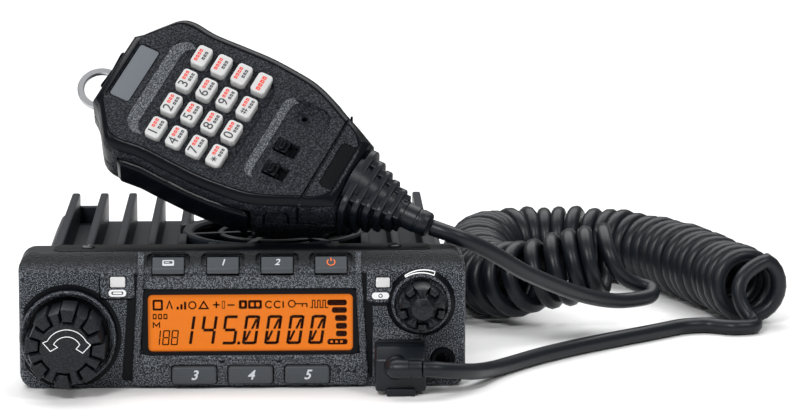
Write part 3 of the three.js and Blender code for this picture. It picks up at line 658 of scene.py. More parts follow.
# Boxes on the panel are (left, right, bottom, top): the display's opening, and what its surround leaves free.
WINDOW = (-31.6, 36.7, 11.6, 32.4)
SIGHT = (-30.7, 35.8, 12.1, 31.0)
TX_HOLE = (-43.05, -37.55, 33.4, 37.4)
PWR_HOLE = (43.0, 48.2, 32.9, 36.7)
CHANNEL_X, CHANNEL_Z = -56.5, 17.4
VOLUME_X, VOLUME_Z = 58.0, 28.0
AUX_X, AUX_Z = 65.0, 9.2
LOWER_KEYS = {"preset_key_3": (-15.8, "3"), "preset_key_4": (2.5, "4"), "preset_key_5": (20.9, "5")}
LOWER_KEY_Z, LOWER_KEY_HALF_WIDTH, LOWER_KEY_HALF_HEIGHT = 4.8, 7.25, 2.9
TOP_KEYS = {"menu_key": -24.0, "preset_key_1": -6.3, "preset_key_2": 11.3, "power_key": 28.8}
TOP_KEY_HALF_WIDTH = 5.15
TOP_KEY_FLOOR = HEIGHT - 7.2
VOLUME_FLARE = 11.2
VOLUME_RING, VOLUME_RING_HEIGHT = 9.9, 1.8
CORNER = 5
FACE_TOP = HEIGHT - 6
FLOOR = -1.4


def box(x0, x1, y0, y1, z0, z1):
    return prism(corners([(x0, y0), (x1, y0), (x1, y1), (x0, y1)], 0.02, 1), z0, z1)


def at_channel(bm):
    return shifted(bm, CHANNEL_X, CHANNEL_Z)


def at_volume(bm):
    return shifted(bm, VOLUME_X, VOLUME_Z)


def bezel_skin(m):
    """The outer skin: flat at the front, rounded round the sides, sloping back along the top."""
    side_depth, top_depth = 1.6, 6
    front = rounded(-HALF + 1.5, HALF - 1.5, 1.2, FACE_TOP, 4.2)()
    full = rounded(-HALF, HALF, 0, HEIGHT, CORNER)()
    # How far out and how far back each ring lies, as parts of the whole way, at the sides and along the top.
    side = ((0, 0), (0.35, 0.06), (0.62, 0.2), (0.82, 0.42), (0.95, 0.7), (1, 1))
    top = ((0, 0), (0.1, 0.03), (0.2, 0.12), (0.82, 0.76), (0.93, 0.9), (1, 1))
    rings = []
    for (side_out, side_back), (top_out, top_back) in zip(side, top):
        points = []
        for (fx, fz), (x, z) in zip(front, full):
            t = max(0.0, min(1.0, (z - (HEIGHT - CORNER)) / CORNER))
            t = t * t * (3 - 2 * t)
            out = side_out + (top_out - side_out) * t
            back = side_depth * side_back * (1 - t) + top_depth * top_back * t
            points.append((fx + (x - fx) * out, fz + (z - fz) * out, -back))
        rings.append(m.ring(points))
    for a, b in zip(rings, rings[1:]):
        m.wall(a, b)
    return rings[0], rings[-1]


def top_key_pocket(x, gap, top, low, high):
    """The room that a top key moves in."""
    return box(x - TOP_KEY_HALF_WIDTH - gap, x + TOP_KEY_HALF_WIDTH + gap, TOP_KEY_FLOOR, top, low, high)


def lower_key_outline(x, gap, radius):
    left, right = x - LOWER_KEY_HALF_WIDTH - gap, x + LOWER_KEY_HALF_WIDTH + gap
    low, high = LOWER_KEY_Z - LOWER_KEY_HALF_HEIGHT - gap, LOWER_KEY_Z + LOWER_KEY_HALF_HEIGHT + gap
    return rounded(left, right, low, high, radius)


def lower_key_holes():
    return [prism(lower_key_outline(x, 0.35, 1.2), -6, 4) for x, _ in LOWER_KEYS.values()]


def make_bezel():
    m = Moulding()
    face, skin_end = bezel_skin(m)
    back = -BEZEL_DEPTH
    _, cavity = m.steps(rounded(-HALF, HALF, 0, HEIGHT, CORNER), [
        (0, back + 0.4), (-0.4, back), (-2.4, back), (-2.6, -8.4), (-8.6, -3.2)], skin_end)
    basin = corners([(-36.9, 3.2, 3), (41.7, 3.2, 3), (39.4, 38.0, 0.3), (-34.6, 38.0, 0.3)])
    basin_top, basin_floor = m.steps(basin, [(0, 0), (-0.1, FLOOR)])
    window_front, window_back = m.steps(rounded(*WINDOW, 1.4), [(0.3, FLOOR), (0.3, -3.2)])
    m.flat(face, basin_top)
    m.flat(basin_floor, window_front)
    m.flat(cavity, window_back)
    cutters = []
    for x in TOP_KEYS.values():
        cutters.append(top_key_pocket(x, 0.3, HEIGHT + 1, -5.8, 3))
        scoop = prism(rounded(-TOP_KEY_HALF_WIDTH - 1.9, TOP_KEY_HALF_WIDTH + 1.9, -3.2, 3.4, 1.8), -0.9, 3)
        cutters.append(put(scoop, Matrix.Translation((x, HEIGHT - 3, -3)) @ TOP_SLOPE))
    cutters += lower_key_holes()
    cutters += [box(*TX_HOLE, -5, 2), box(*PWR_HOLE, -5, 2)]
    for x, z, radius in ((AUX_X, AUX_Z, 4.1), (CHANNEL_X, CHANNEL_Z, 3.7), (VOLUME_X, VOLUME_Z, 3.1)):
        cutters.append(prism(circle(x, z, radius), -5, 2))
    cutters.append(box(43.8, 58.2, 3.4, 13.4, -5, 2))
    housing_part("bezel_housing", m.bm, bezel_plastic, cutters=cutters)


def cove_sections():
    """The cove over the display, the sills under it and the two arms up the slope, each run along x."""
    cove = corners([(-1.6, 33.0), (0.3, 33.0), (-0.3, 34.1), (-0.8, 35.3), (-1.05, 36.4), (-0.8, 37.4),
                    (-0.1, 38.2),
                    (-1.6, 38.2)], 0.05, 2)
    sill = corners([(-1.6, 5.0), (1.0, 5.0), (0.9, 8.8), (0.3, 11.3), (-1.6, 11.3)], 0.1, 2)
    low_sill = corners([(-1.6, 9.2), (0.85, 9.2), (0.3, 11.3), (-1.6, 11.3)], 0.1, 2)
    slope = corners([(-1, 37.4), (1.6, 37.4), (1.6, 38.4, 1), (-3.6, 43.6, 1), (-5.6, 44.1), (-5.6, 42.4)],
                    0.2)
    runs = ((cove, -32.0, 36.8, 0), (sill, -34.0, -23.6, 0), (sill, 28.7, 38.8, 0), (low_sill, -24, 29, 0),
            (slope, -33.9, -31.7, 0.45), (slope, 36.5, 38.7, 0.45))
    return [put(prism(section, x0, x1, ease), SIDE) for section, x0, x1, ease in runs]


def make_centre_frame():
    """The raised rim round the display: thick along the bottom, where it steps up round the three keys."""
    dimples = []
    for x in (11.7, -6.65):
        dimples += [(x + 1.5, 9.5, 0.3), (x, 8.5, 0.3), (x - 1.5, 9.5, 0.3)]
    u_shape = corners([
        (-36.2, 1.2, 3), (41.0, 1.2, 3), (38.7, 38.4, 0.3), (36.5, 38.4, 0.3), (38.4, 5.3, 1.6),
        (31.1, 5.3, 0.8), (28.6, 9.5, 0.6), *dimples, (-23.5, 9.5, 0.6), (-26.0, 5.3, 0.8),
        (-33.6, 5.3, 1.6), (-31.7, 38.4, 0.3), (-33.9, 38.4, 0.3)])
    housing_part("centre_frame", prism(u_shape, FLOOR, 1.6, 0.5, 0), panel_plastic, cutters=lower_key_holes())
    pockets = [top_key_pocket(x, 0.2, HEIGHT, -5, 3) for x in TOP_KEYS.values()]
    housing_part("display_cove", merged(*cove_sections()), panel_plastic, cutters=pockets)
    left, right, low, high = WINDOW
    surround = washer(rounded(left - 1.3, right + 1.3, low - 0.7, high + 0.6, 2.6), rounded(*SIGHT, 1.5),
                      FLOOR, 0.6, 0.3)
    housing_part("display_surround", surround, smooth_plastic)


def make_knob_flares():
    """The smooth flanks outside the rings round the two knobs."""
    channel = [(16.0, -1.2), (15.9, 0.8), (15.8, 1.8), (15.7, 2.6), (15.5, 2.6), (15.5, -1.2)]
    volume = [(VOLUME_FLARE, -1.2), (VOLUME_FLARE, 0), (VOLUME_RING, VOLUME_RING_HEIGHT),
              (9.6, VOLUME_RING_HEIGHT),
              (9.6, -1.2)]
    flares = merged(at_channel(turned(channel, 96, closed=True)), at_volume(turned(volume, closed=True)))
    housing_part("knob_flares", flares, smooth_plastic)


def make_face_details():
    """The rings round the two knobs and the raised tiles round the two lamps."""
    channel = [(15.6, -1.2), (15.6, 2.7), (15.3, 3.2), (14.9, 3.3), (14.4, 3.0), (14.2, 2.4), (13.9, 2.2),
               (13.6, 1.8), (13.5, -1.2)]
    volume = [(9.7, -1.2), (9.7, 1.8), (9.4, 2.3), (8.9, 2.4), (8.6, 2.1), (8.4, 1.4), (8.4, -1.2)]
    rings = at_channel(turned(channel, 96, closed=True)), at_volume(turned(volume, closed=True))
    tx_tile = washer(rounded(-46, -34.9, 29.9, 38.6, 1.3), rounded(*TX_HOLE, 0.5), -0.3, 0.7, 0.3)
    pwr_tile = washer(rounded(40.3, 48.7, 28.2, 38.6, 1.3), rounded(*PWR_HOLE, 0.3), -0.3, 0.7, 0.2)
    housing_part("face_details", merged(*rings, tx_tile, pwr_tile), panel_plastic)


def make_right_corner():
    """The ledge over the plug, and the apron that the small jack sits in."""
    ledge = corners([(-1.4, 2.6), (1.4, 2.6), (1.4, 16.4), (-0.1, 19.9), (-1.4, 19.9)], 0.3)
    mouth = box(43.8, 58.0, 3.4, 13.4, -5, 3)
    housing_part("plug_ledge", put(prism(ledge, 42.2, 58.4, 0.4), SIDE), panel_plastic, cutters=[mouth])
    apron = corners([(-1.6, 2.6), (0.8, 2.6), (0.8, 14.7), (0.2, 15.5), (-1.6, 15.5)], 0.2)
    hole = prism(circle(AUX_X, AUX_Z, 4.1), -5, 3)
    housing_part("jack_apron", put(prism(apron, 58.2, 70.6, 0.6), SIDE), panel_plastic, cutters=[hole])


def channel_shade_ring(grow=0.0):
    """The circle of painted shade round the channel knob, kept inside the panel's edges."""
    ring = circle(CHANNEL_X, CHANNEL_Z, 17.2, 96)(grow)
    return [(max(x, -HALF + 1.6), max(z, 1.4)) for x, z in ring]


def make_painted_valley_shade():
    """Thin dark plates of painted shade, a hair proud of the face where it lies in shadow: the valleys beside
    the centre frame, the gaps under and round the lamps' tiles and the groove round the knob.
    """
    left = corners([(-39.4, 2.6, 1.5), (-35.6, 2.6), (-33.4, 38.0), (-36.6, 38.0, 1)])
    right = corners([(41.1, 3.2), (43.0, 3.2, 1), (41.8, 37.5, 1), (38.8, 38.0)])
    under_pwr = rounded(42.0, 49.4, 26.9, 28.2, 0.5)
    round_tx = rounded(-46.4, -35.0, 29.4, 38.0, 1.5)
    outlines = (left, right, under_pwr, round_tx, channel_shade_ring)
    housing_part("painted_valley_shade", merged(*[prism(outline, -0.4, 0.1) for outline in outlines]), smooth_plastic)


def make_top_strip():
    strip = prism(rounded(-61.5, 61.5, 6.4, 17.6, 3.2), HEIGHT - 0.4, HEIGHT + 0.3, 0.25)
    housing_part("top_strip", strip, smooth_plastic, DECK)
    heads = [shifted(screw_head(2.3), x, 12.6, HEIGHT + 0.3) for x in (-50.4, 49.8)]
    add_piece("strip_screws", merged(*heads), DECK, dark_screw, "root")


def screw_head(radius):
    """A low pan head with a dished middle, standing on z = 0."""
    return turned([(0, -0.6), (radius, -0.6), (radius, 0.25), (radius * 0.8, 0.62), (radius * 0.42, 0.75),
                   (0, 0.3)],
                  28)


def make_lamps():
    for name, sides in (("tx_lens", (-42.75, -37.85, 33.7, 37.1)), ("pwr_lens", (43.3, 47.9, 33.2, 36.4))):
        lens = prism(rounded(*sides, 0.5), -4, 1.25, 0.3)
        stand_in(name, f"{name}_cap", lens, PANEL, lens_white, "root")
    height = 0.76
    marks = [plate(rounded(-43.3, -37.6, 30.6, 32.9, 1.1), height, rounded(-42.4, -38.5, 31.2, 32.3, 0.5)),
             plate(rounded(-41.9, -39.0, 31.45, 32.05, 0.28), height),
             plate(rounded(42.0, 47.6, 29.3, 31.5, 1.05), height, circle(44.8, 30.4, 0.72, 20)),
             plate(circle(44.8, 30.4, 0.4, 16), height)]
    add_piece("lamp_marks", merged(*marks), PANEL, white_paint, "root")


# ---------- radio: keys ----------

TOP_SLOPE = Matrix.Rotation(math.radians(-45), 4, "X")
SLANT = Matrix.Translation((0, HEIGHT - 3.05, -1.72)) @ TOP_SLOPE


def mark_top_key(name, mark, paint):
    """Lays a flat mark on a top key's slope."""
    put(mark, Matrix.Translation((TOP_KEYS[name], 0, 0)) @ SLANT)
    add_piece(f"{name}_mark", mark, PANEL, paint, name)


def make_top_keys():
    section = corners([(-4.9, HEIGHT - 6.2), (0.9, HEIGHT - 6.2), (0.9, HEIGHT - 4.7, 0.6),
                       (0.3, HEIGHT - 4.3, 0.3),
                       (-0.2, HEIGHT - 4.6, 0.2), (-3.3, HEIGHT - 1.5, 0.5), (-4.9, HEIGHT - 1.9, 0.4)], 0.2)
    for name, x in TOP_KEYS.items():
        key = put(prism(section, x - TOP_KEY_HALF_WIDTH, x + TOP_KEY_HALF_WIDTH, 0.35), SIDE)
        stand_in(name, f"{name}_cap", key, PANEL, key_plastic, name)
    lift, stroke_width = 0.06, 0.36
    for name, text in (("preset_key_1", "1"), ("preset_key_2", "2")):
        mark_top_key(name, numeral(text, 3.4, lift, 0.25, 0.05), legend_paint)
    menu = merged(plate(rounded(-1.9, 1.9, -1.15, 1.15, 0.45), lift, rounded(-1.4, 1.4, -0.3, 0.7, 0.2)),
                  plate(rounded(-1.0, 0.4, 0.05, 0.4, 0.1), lift))
    mark_top_key("menu_key", menu, legend_paint)
    ring = ribbon(arc(0, 0, 1.25, math.radians(130), math.radians(410), 28), stroke_width, lift)
    power = merged(ring, ribbon([(0, 0.35), (0, 1.75)], stroke_width, lift))
    mark_top_key("power_key", power, orange_paint)


def make_lower_keys():
    for name, (x, text) in LOWER_KEYS.items():
        key = prism(lower_key_outline(x, 0, 1.1), -4.4, 3.2, 0.7, 0)
        stand_in(name, f"{name}_cap", key, PANEL, key_plastic, name)
        mark = shifted(numeral(text, 4.4, 3.25, 0.3, 0.09), x, LOWER_KEY_Z)
        add_piece(f"{name}_mark", mark, PANEL, legend_paint, name)


# ---------- radio: display ----------

SEGMENTS = {"0": "abcdef", "1": "bc", "4": "fgbc", "5": "afgcd", "8": "abcdefg"}


def digit(text, width, height, thick, slash=False):
    """A seven-segment digit with its lower left corner at the origin."""
    gap = thick * 0.18
    half = height / 2
    ends = {"a": ((0, height), (width, height)), "g": ((0, half), (width, half)), "d": ((0, 0), (width, 0)),
            "f": ((0, half), (0, height)), "b": ((width, half), (width, height)),
            "e": ((0, 0), (0, half)), "c": ((width, 0), (width, half))}
    parts = []
    for name in SEGMENTS[text]:
        (x0, y0), (x1, y1) = ends[name]
        if y0 == y1:
            inset = thick * (0.0 if name == "g" else 0.35)
            y = y0 + (-thick / 2 if name == "a" else thick / 2 if name == "d" else 0)
            line = [(x0 + gap + thick * 0.55 - inset * 0.4, y), (x1 - gap - thick * 0.55 + inset * 0.4, y)]
        else:
            x = x0 + (thick / 2 if x0 == 0 else -thick / 2)
            line = [(x, y0 + gap + 0.12 * thick), (x, y1 - gap - 0.12 * thick)]
        parts.append(ribbon(line, thick, 0))
    if slash:
        upper = [(width - thick * 1.1, height - thick * 1.3), (width * 0.55, half + gap * 1.6)]
        lower = [(width * 0.45, half - gap * 1.6), (thick * 1.1, thick * 1.3)]
        parts += [ribbon(line, thick * 0.8, 0) for line in (upper, lower)]
    return merged(*parts)


def slanted(bm, x, z, lean):
    """Moves a flat shape to a place on the display, leaning to the right."""
    return put(bm, Matrix(((1, lean, 0, x), (0, 1, 0, z), (0, 0, 1, 0), (0, 0, 0, 1))))


def block(x0, x1, z0, z1, radius, *holes):
    """A flat rounded block with rounded holes, each given as (left, right, bottom, top)."""
    return plate(rounded(x0, x1, z0, z1, radius), 0, *[rounded(*hole, 0.2) for hole in holes])


def stroke(points, width=0.5, closed=False):
    return ribbon(points, width, 0, closed)


def display_digits():
    """The frequency, its point, and the small channel number."""
    places = ((-21.4, "1"), (-14.2, "4"), (-7.2, "5"), (-0.4, "0"), (6.8, "0"), (14.0, "0"), (21.1, "0"))
    digits = [slanted(digit(text, 4.8, 9.7, 0.98, slash=text == "0"), x, 14.2, 0.15) for x, text in places]
    point = slanted(block(-0.5, 0.5, 0, 1.0, 0.15), -1.4, 14.2, 0.15)
    small = [slanted(digit(text, 2.3, 5.0, 0.42), x, 14.1, 0.1) for x,
             text in ((-29.3, "1"), (-26.3, "8"), (-23.5, "8"))]
    return [*digits, point, *small]


def display_row():
    """The row of small symbols along the top, from left to right."""
    row = [block(-29.2, -25.8, 25.6, 29.2, 0.5, (-28.5, -26.5, 26.3, 28.5)),
           stroke([(-24.6, 26.1), (-23.7, 28.7), (-22.8, 26.1)])]
    for x, tall in ((-21.4, 1.0), (-20.2, 1.8), (-19.0, 2.6)):
        row.append(block(x, x + 0.75, 25.9, 25.9 + tall, 0.1))
    row += [stroke(arc(-16.3, 27.3, 1.15, 0, TAU, 20)[:-1], 0.45, True),
            stroke([(-14.0, 26.2), (-12.6, 28.5), (-11.2, 26.2)], closed=True),
            stroke([(-9.6, 27.4), (-7.4, 27.4)]),
            stroke([(-8.5, 26.3), (-8.5, 28.5)]),
            slanted(digit("0", 1.0, 2.6, 0.25), -6.7, 26.1, 0),
            stroke([(-4.9, 27.3), (-2.6, 27.3)]),
            block(-1.2, 1.5, 26.0, 28.9, 0.5, (-0.3, 0.6, 26.8, 28.1)),
            block(1.8, 6.3, 26.0, 28.9, 0.5, (2.6, 3.7, 26.8, 28.1), (4.4, 5.5, 26.8, 28.1))]
    row += [stroke(arc(x, 27.4, 1.1, math.radians(40), math.radians(320), 16), 0.45) for x in (8.6, 11.4)]
    row += [stroke([(13.2, 26.3), (13.2, 28.5)]),
            stroke(arc(16.0, 27.6, 1.1, 0, TAU, 20)[:-1], 0.42, True),
            stroke([(17.1, 27.6), (20.9, 27.6), (20.9, 26.4)], 0.42),
            stroke([(19.4, 27.6), (19.4, 26.6)], 0.42)]
    wave = [(22.0, 26.3)]
    for i in range(3):
        left, right = 22.7 + i * 1.7, 23.5 + i * 1.7
        wave += [(left, 26.3), (left, 28.7), (right, 28.7), (right, 26.3)]
    return [*row, stroke([*wave, (27.9, 26.3)], 0.36)]


def display_symbols():
    """All the flat ink of the display."""
    small = []
    for i in range(3):
        outer = rounded(-29.2 + i * 1.75, -27.9 + i * 1.75, 22.7, 24.5, 0.3)
        small.append(plate(outer, 0, rounded(-28.85 + i * 1.75, -28.25 + i * 1.75, 23.1, 24.1, 0.1)))
    small.append(stroke([(-29.0, 19.9), (-29.0, 21.6), (-28.0, 20.5), (-27.0, 21.6), (-27.0, 19.9)], 0.42))
    bars = [block(left, 33.9, low, high, 0.75) for left, low, high in (
        (27.5, 27.0, 28.9), (29.0, 24.5, 26.4), (30.0, 21.8, 23.8), (30.3, 19.2, 21.2), (30.3, 16.7, 18.6))]
    lamp = block(27.5, 34.1, 14.0, 15.9, 0.8, *[(x, x_end, 14.6, 15.3) for x, x_end in (
        (28.5, 29.3), (30.1, 30.9), (31.7, 32.5))])
    return merged(*display_digits(), *display_row(), *small, *bars, lamp)


def make_display():
    left, right, low, high = SIGHT
    glass = prism(rounded(left + 0.05, right - 0.05, low + 0.05, high - 0.05, 1.5), -0.6, 0.1, 0.1)
    stand_in("lcd_window", "display_glass", glass, PANEL, clear, "root")
    left, right, low, high = WINDOW
    panel = prism(rounded(left - 0.2, right + 0.2, low - 0.2, high + 0.2, 1.2), -7.4, -1.0)
    stand_in("lcd_panel", "display_panel", panel, PANEL, amber, "root")
    add_piece("display_symbols", shifted(display_symbols(), z=-0.94), PANEL, symbol_ink, "root")


# ---------- radio: knobs, plug and jack ----------


def pads(count, inner, outer, half_inner, half_outer, low, high, ease, phase):
    """The raised pads between a knob's notches."""
    outline = corners([(inner, -half_inner), (outer, -half_outer), (outer, half_outer), (inner, half_inner)],
                      0.5, 3)
    return [turned_by(prism(outline, low, high, ease), math.degrees(phase) + 360 * i / count)
            for i in range(count)]


def make_channel_knob():
    phase = math.radians(85)
    body = Moulding()
    back, front = body.steps(gear(0, 0, 11.9, 8, 8.2, 2.95, 1.95, phase),
                             [(0, 0.3), (0, 18.9), (-0.2, 19.6), (-0.55, 19.9)])
    body.flat(back)
    body.flat(front)
    core = prism(circle(0, 0, 8.0, 64), 0.4, 17.6, 0.3)
    lugs = pads(8, 8.6, 12.8, 1.55, 2.55, 4.0, 19.5, 0.45, phase)
    stand_in("channel_knob", "channel_knob_cap", at_channel(merged(body.bm, core, *lugs)), PANEL,
             knob_plastic,
             "channel_knob")
    arrow = shifted(turned_arrow(), CHANNEL_X + 0.6, CHANNEL_Z + 2.0, 19.93)
    add_piece("channel_knob_arrow", arrow, PANEL, white_paint, "channel_knob")


def turned_arrow():
    """A double-headed curved arrow in outline, over the middle of the knob's face."""
    start, end = math.radians(27), math.radians(151)
    outer = arc(0, -2.7, 7.0, start, end, 24)
    inner = arc(0, -2.7, 4.7, end, start, 24)
    left_head = [(-7.6, 0.1), (-5.2, -2.7), (-2.9, -1.4)]
    right_head = [(3.0, -2.0), (5.1, -3.3), (7.6, -0.7)]
    return ribbon([*outer, *left_head, *inner, *right_head], 0.25, 0, closed=True)


def make_volume_knob():
    phase = math.radians(54)
    body = Moulding()
    back, front = body.steps(gear(0, 0, 7.5, 5, 5.0, 1.9, 1.4, phase),
                             [(0, 0.3), (0, 9.4), (-0.4, 10.8), (-1.0, 11.6)])
    dome = [body.ring(circle(0, 0, radius, 48)(), z) for radius,
            z in ((3.9, 12.2), (3.4, 12.9), (2.4, 13.3), (1.2, 13.5))]
    body.flat(back)
    body.flat(front, dome[0])
    for low, high in zip(dome, dome[1:]):
        body.wall(low, high)
    body.flat(dome[-1])
    core = prism(circle(0, 0, 4.9, 48), 0.4, 10.4, 0.4)
    lugs = pads(5, 5.2, 7.3, 1.3, 1.55, 2.4, 11.3, 0.6, phase)
    stand_in("volume_knob", "volume_knob_cap", at_volume(merged(body.bm, core, *lugs)), PANEL, knob_plastic,
             "volume_knob")
    add_piece("volume_mark", at_volume(volume_wedge()), PANEL, white_paint, "root")


def volume_wedge():
    """The wedge over the knob, thin at the left and thick at the right. It lies on the flare's flank."""
    steps = 20
    turns = [math.radians(120 - 54 * i / steps) for i in range(steps + 1)]
    upper = [(math.cos(a) * (10.5 + 0.03 * i), math.sin(a) * (10.5 + 0.03 * i)) for i, a in enumerate(turns)]
    lower = [(math.cos(a) * 10.1, math.sin(a) * 10.1) for a in reversed(turns)]
    wedge = ribbon([*upper, *lower], 0.3, 0, closed=True)
    for v in wedge.verts:
        down = VOLUME_FLARE - math.hypot(v.co.x, v.co.y)
        v.co.z = VOLUME_RING_HEIGHT * down / (VOLUME_FLARE - VOLUME_RING) + 0.06
    return wedge


CORD_MOUTH_X, CORD_MOUTH_Z = 49.5, 9.6
TO_RIGHT = Matrix(((0, 0, 1, 0), (1, 0, 0, 0), (0, 1, 0, 0), (0, 0, 0, 1)))


def make_plug():
    block_side = corners([(0.3, 1.3), (13.8, 1.3, 1.2), (13.8, 11.8, 2.2), (9.4, 15.5, 2.0), (0.3, 15.5)],
                         0.4)
    shoulder_side = corners([(0.3, 14.0), (3.4, 14.0), (3.4, 16.1), (0.3, 16.1)], 0.3)
    parts = [put(prism(block_side, 42.8, 59.2, 1.0), SIDE), put(prism(shoulder_side, 43.6, 58.4, 0.4), SIDE)]
    collar = turned([(0, 12), (3.9, 12), (3.9, 15.6), (3.5, 16.4), (0, 16.8)], 40)
    parts.append(shifted(collar, CORD_MOUTH_X, CORD_MOUTH_Z))
    parts.append(prism(rounded(46.2, 55.8, 0.1, 2.6, 0.8), 2.0, 15.2, 0.5))
    neck = turned([(0, -3.4), (1.7, -3.0), (2.8, -1.9), (3.2, -0.4), (3.2, 3.8), (2.95, 4.1), (2.95, 7.6),
                   (2.8, 8),
                   (0, 8)], 32)
    parts.append(put(neck, Matrix.Translation((CORD_MOUTH_X, CORD_MOUTH_Z, 17)) @ TO_RIGHT))
    plug = stand_in("mic_plug", "plug_body", merged(*parts), PANEL, cord_rubber, "root")
    add_piece("plug_tongue", box(45.2, 56.8, 5.2, 11.6, -7, 1.5), PANEL, gold, "root")
    return plug


def make_aux_jack():
    ring = turned([(3.8, -3), (3.8, 1.0), (3.5, 1.35), (3.0, 1.45), (2.4, 1.35), (2.1, 0.9), (2.05, -3)], 48,
                  closed=True)
    bottom = turned([(0, -6.5), (2.2, -6.5), (2.2, -5.8), (0, -5.8)], 24)
    jack = shifted(merged(ring, bottom), AUX_X, AUX_Z)
    stand_in("aux_jack", "aux_jack_ring", jack, PANEL, smooth_plastic, "root")


# ---------- radio: heatsink, fan and cover ----------

FIN_PITCH = 10.12
FIN_HALF = 1.45
FIN_FLOOR = 33.5
FAN_X, FAN_Y, FAN_WELL = 10.12, 49.5, 31.4
ANTENNA_X, ANTENNA_Z = -38, 17
SPEAKER_JACK_X, SPEAKER_JACK_Z = 8, 13
BACK = -CHASSIS_REAR


def make_heatsink():
    wall = 3.2
    c = CHASSIS_HALF
    section = corners([
        (c, 1.8), (c, 29.5, 4.5), (c - 2.6, 35.4, 2.6), (c - 6.6, 37.0, 0.8), (c - 8.4, FIN_FLOOR, 0.8),
        (8.4 - c, FIN_FLOOR, 0.8), (6.6 - c, 37.0, 0.8), (2.6 - c, 35.4, 2.6), (-c, 29.5, 4.5), (-c, 1.8),
        (wall - c, 1.8), (wall - c, 29.5), (c - wall, 29.5), (c - wall, 1.8)], 0.3)
    body = cast_part("heatsink_body", prism(section, BACK, -CHASSIS_FRONT, 0.25))
    well = prism(circle(FAN_X, -FAN_Y, FAN_WELL), FIN_FLOOR, 50)
    carve(body, [put(well, DECK @ Matrix.Scale(-1, 4, (0, 1, 0)))])
    rear = cast_part("heatsink_rear", prism(rounded(-c + 0.6, c - 0.6, 2.0, 32.5, 2.0), BACK, BACK + 4, 0.5))
    # The holes go from behind the rear wall to in front of it.
    behind, before = -130, -110
    holes = [prism(circle(ANTENNA_X, ANTENNA_Z, 6.4), behind, before),
             prism(circle(SPEAKER_JACK_X, SPEAKER_JACK_Z, 4.3), behind, before),
             box(30.5, 49.5, 11, 21, behind, before)]
    carve(rear, [put(hole, PANEL) for hole in holes])
    tie = prism(rounded(-60.5, -50.8, FIN_FLOOR - 1, FIN_FLOOR + 5.8, 0.6), BACK + 0.2, BACK + 3.2, 0.5)
    cast_part("heatsink_fins", merged(*fins(), tie))


def cast_part(name, bm):
    return stand_in("chassis_heatsink", name, bm, PANEL, cast_paint, "root")


def fins():
    """The upright fins. Those over the fan's well are cut short round it."""
    made = []
    first, last = CHASSIS_FRONT + 0.3, CHASSIS_REAR - 0.2
    for i in range(-6, 7):
        x = i * FIN_PITCH
        spans = [(first, last)]
        across = abs(x - FAN_X)
        if across < FAN_WELL:
            reach = math.sqrt(FAN_WELL ** 2 - across ** 2)
            spans = [(first, FAN_Y - reach), (FAN_Y + reach, last)]
        for front, back in spans:
            if back - front < 1.2:
                continue
            side = rounded(-back, -front, FIN_FLOOR - 1.6, FIN_TOP, min(1.8, (back - front) * 0.45), 5)
            made.append(put(prism(side, x - FIN_HALF, x + FIN_HALF, 0.75), SIDE))
    return made


def make_fan_guard():
    ring = turned([(27.2, 41.7), (30.8, 41.7), (30.8, 43.2), (30.3, 43.9), (29.2, 44.0), (27.8, 43.6),
                   (27.2, 42.8)],
                  96, closed=True)
    hub = turned([(0, 41.9), (8, 41.9), (8.2, 42.6), (7.6, 43.4), (6.2, 43.6), (0, 43.6)], 48)
    arms = [turned_by(prism(rounded(7, 28.2, -1.2, 1.2, 0.4), 41.9, 43.4, 0.4), 11.5 + 60 * i)
            for i in range(6)]
    middle = turned([(17.2, 42.0), (18.8, 42.0), (18.9, 42.9), (18.3, 43.3), (17.6, 43.3), (17.1, 42.9)],
                    closed=True)
    grille = shifted(merged(ring, hub, middle, *arms), FAN_X, FAN_Y)
    stand_in("fan_guard", "fan_grille", grille, DECK, cast_paint, "root")


def make_bottom_cover():
    m = Moulding()
    outline = rounded(-CHASSIS_HALF + 0.1, CHASSIS_HALF - 0.1, CHASSIS_FRONT + 0.2, CHASSIS_REAR, 1.5)
    low, high = m.steps(outline, [(-0.4, 0), (0, 0.4), (0, 1.5)])
    lows, highs = [], []
    for i in range(-3, 4):
        reach = 18 - abs(i) * 3
        slot = rounded(i * 5 - 1.1, i * 5 + 1.1, 62 - reach, 62 + reach, 1.0)
        a, b = m.steps(slot, [(0.25, 0), (0, 0.25), (0, 1.5)])
        lows.append(a)
        highs.append(b)
    m.flat(low, *lows)
    m.flat(high, *highs)
    stand_in("bottom_cover", "bottom_plate", m.bm, DECK, cover_steel, "root")


# ---------- radio: rear fittings ----------


def make_antenna_socket():
    """A flange with a threaded barrel and a white insulator."""
    flange = prism(rounded(-50, -26, 5, 29, 2), BACK - 2.7, BACK - 0.3, 0.3)
    barrel = [(3, BACK + 9), (3, BACK - 1), (7.6, BACK - 1), (7.6, BACK - 4.0)]
    for i in range(8):
        z = BACK - 4.0 - i
        barrel += [(7.9, z - 0.15), (7.9, z - 0.4), (7.45, z - 0.7)]
    barrel += [(7.5, BACK - 12.8), (6.2, BACK - 12.8), (5.8, BACK - 12.4), (5.8, BACK - 5.3), (0, BACK - 5.3)]
    socket = merged(flange, shifted(turned([(0, BACK + 9), *barrel], 64), ANTENNA_X, ANTENNA_Z))
    stand_in("antenna_socket", "antenna_flange", socket, PANEL, plated, "root")
    middle = turned([(1.9, BACK - 5), (5.5, BACK - 5), (5.5, BACK - 9.6), (5.1, BACK - 10), (2.2, BACK - 10),
                     (1.9, BACK - 9.8)], 48, closed=True)
    add_piece("antenna_insulator", shifted(middle, ANTENNA_X, ANTENNA_Z), PANEL, insulator, "root")


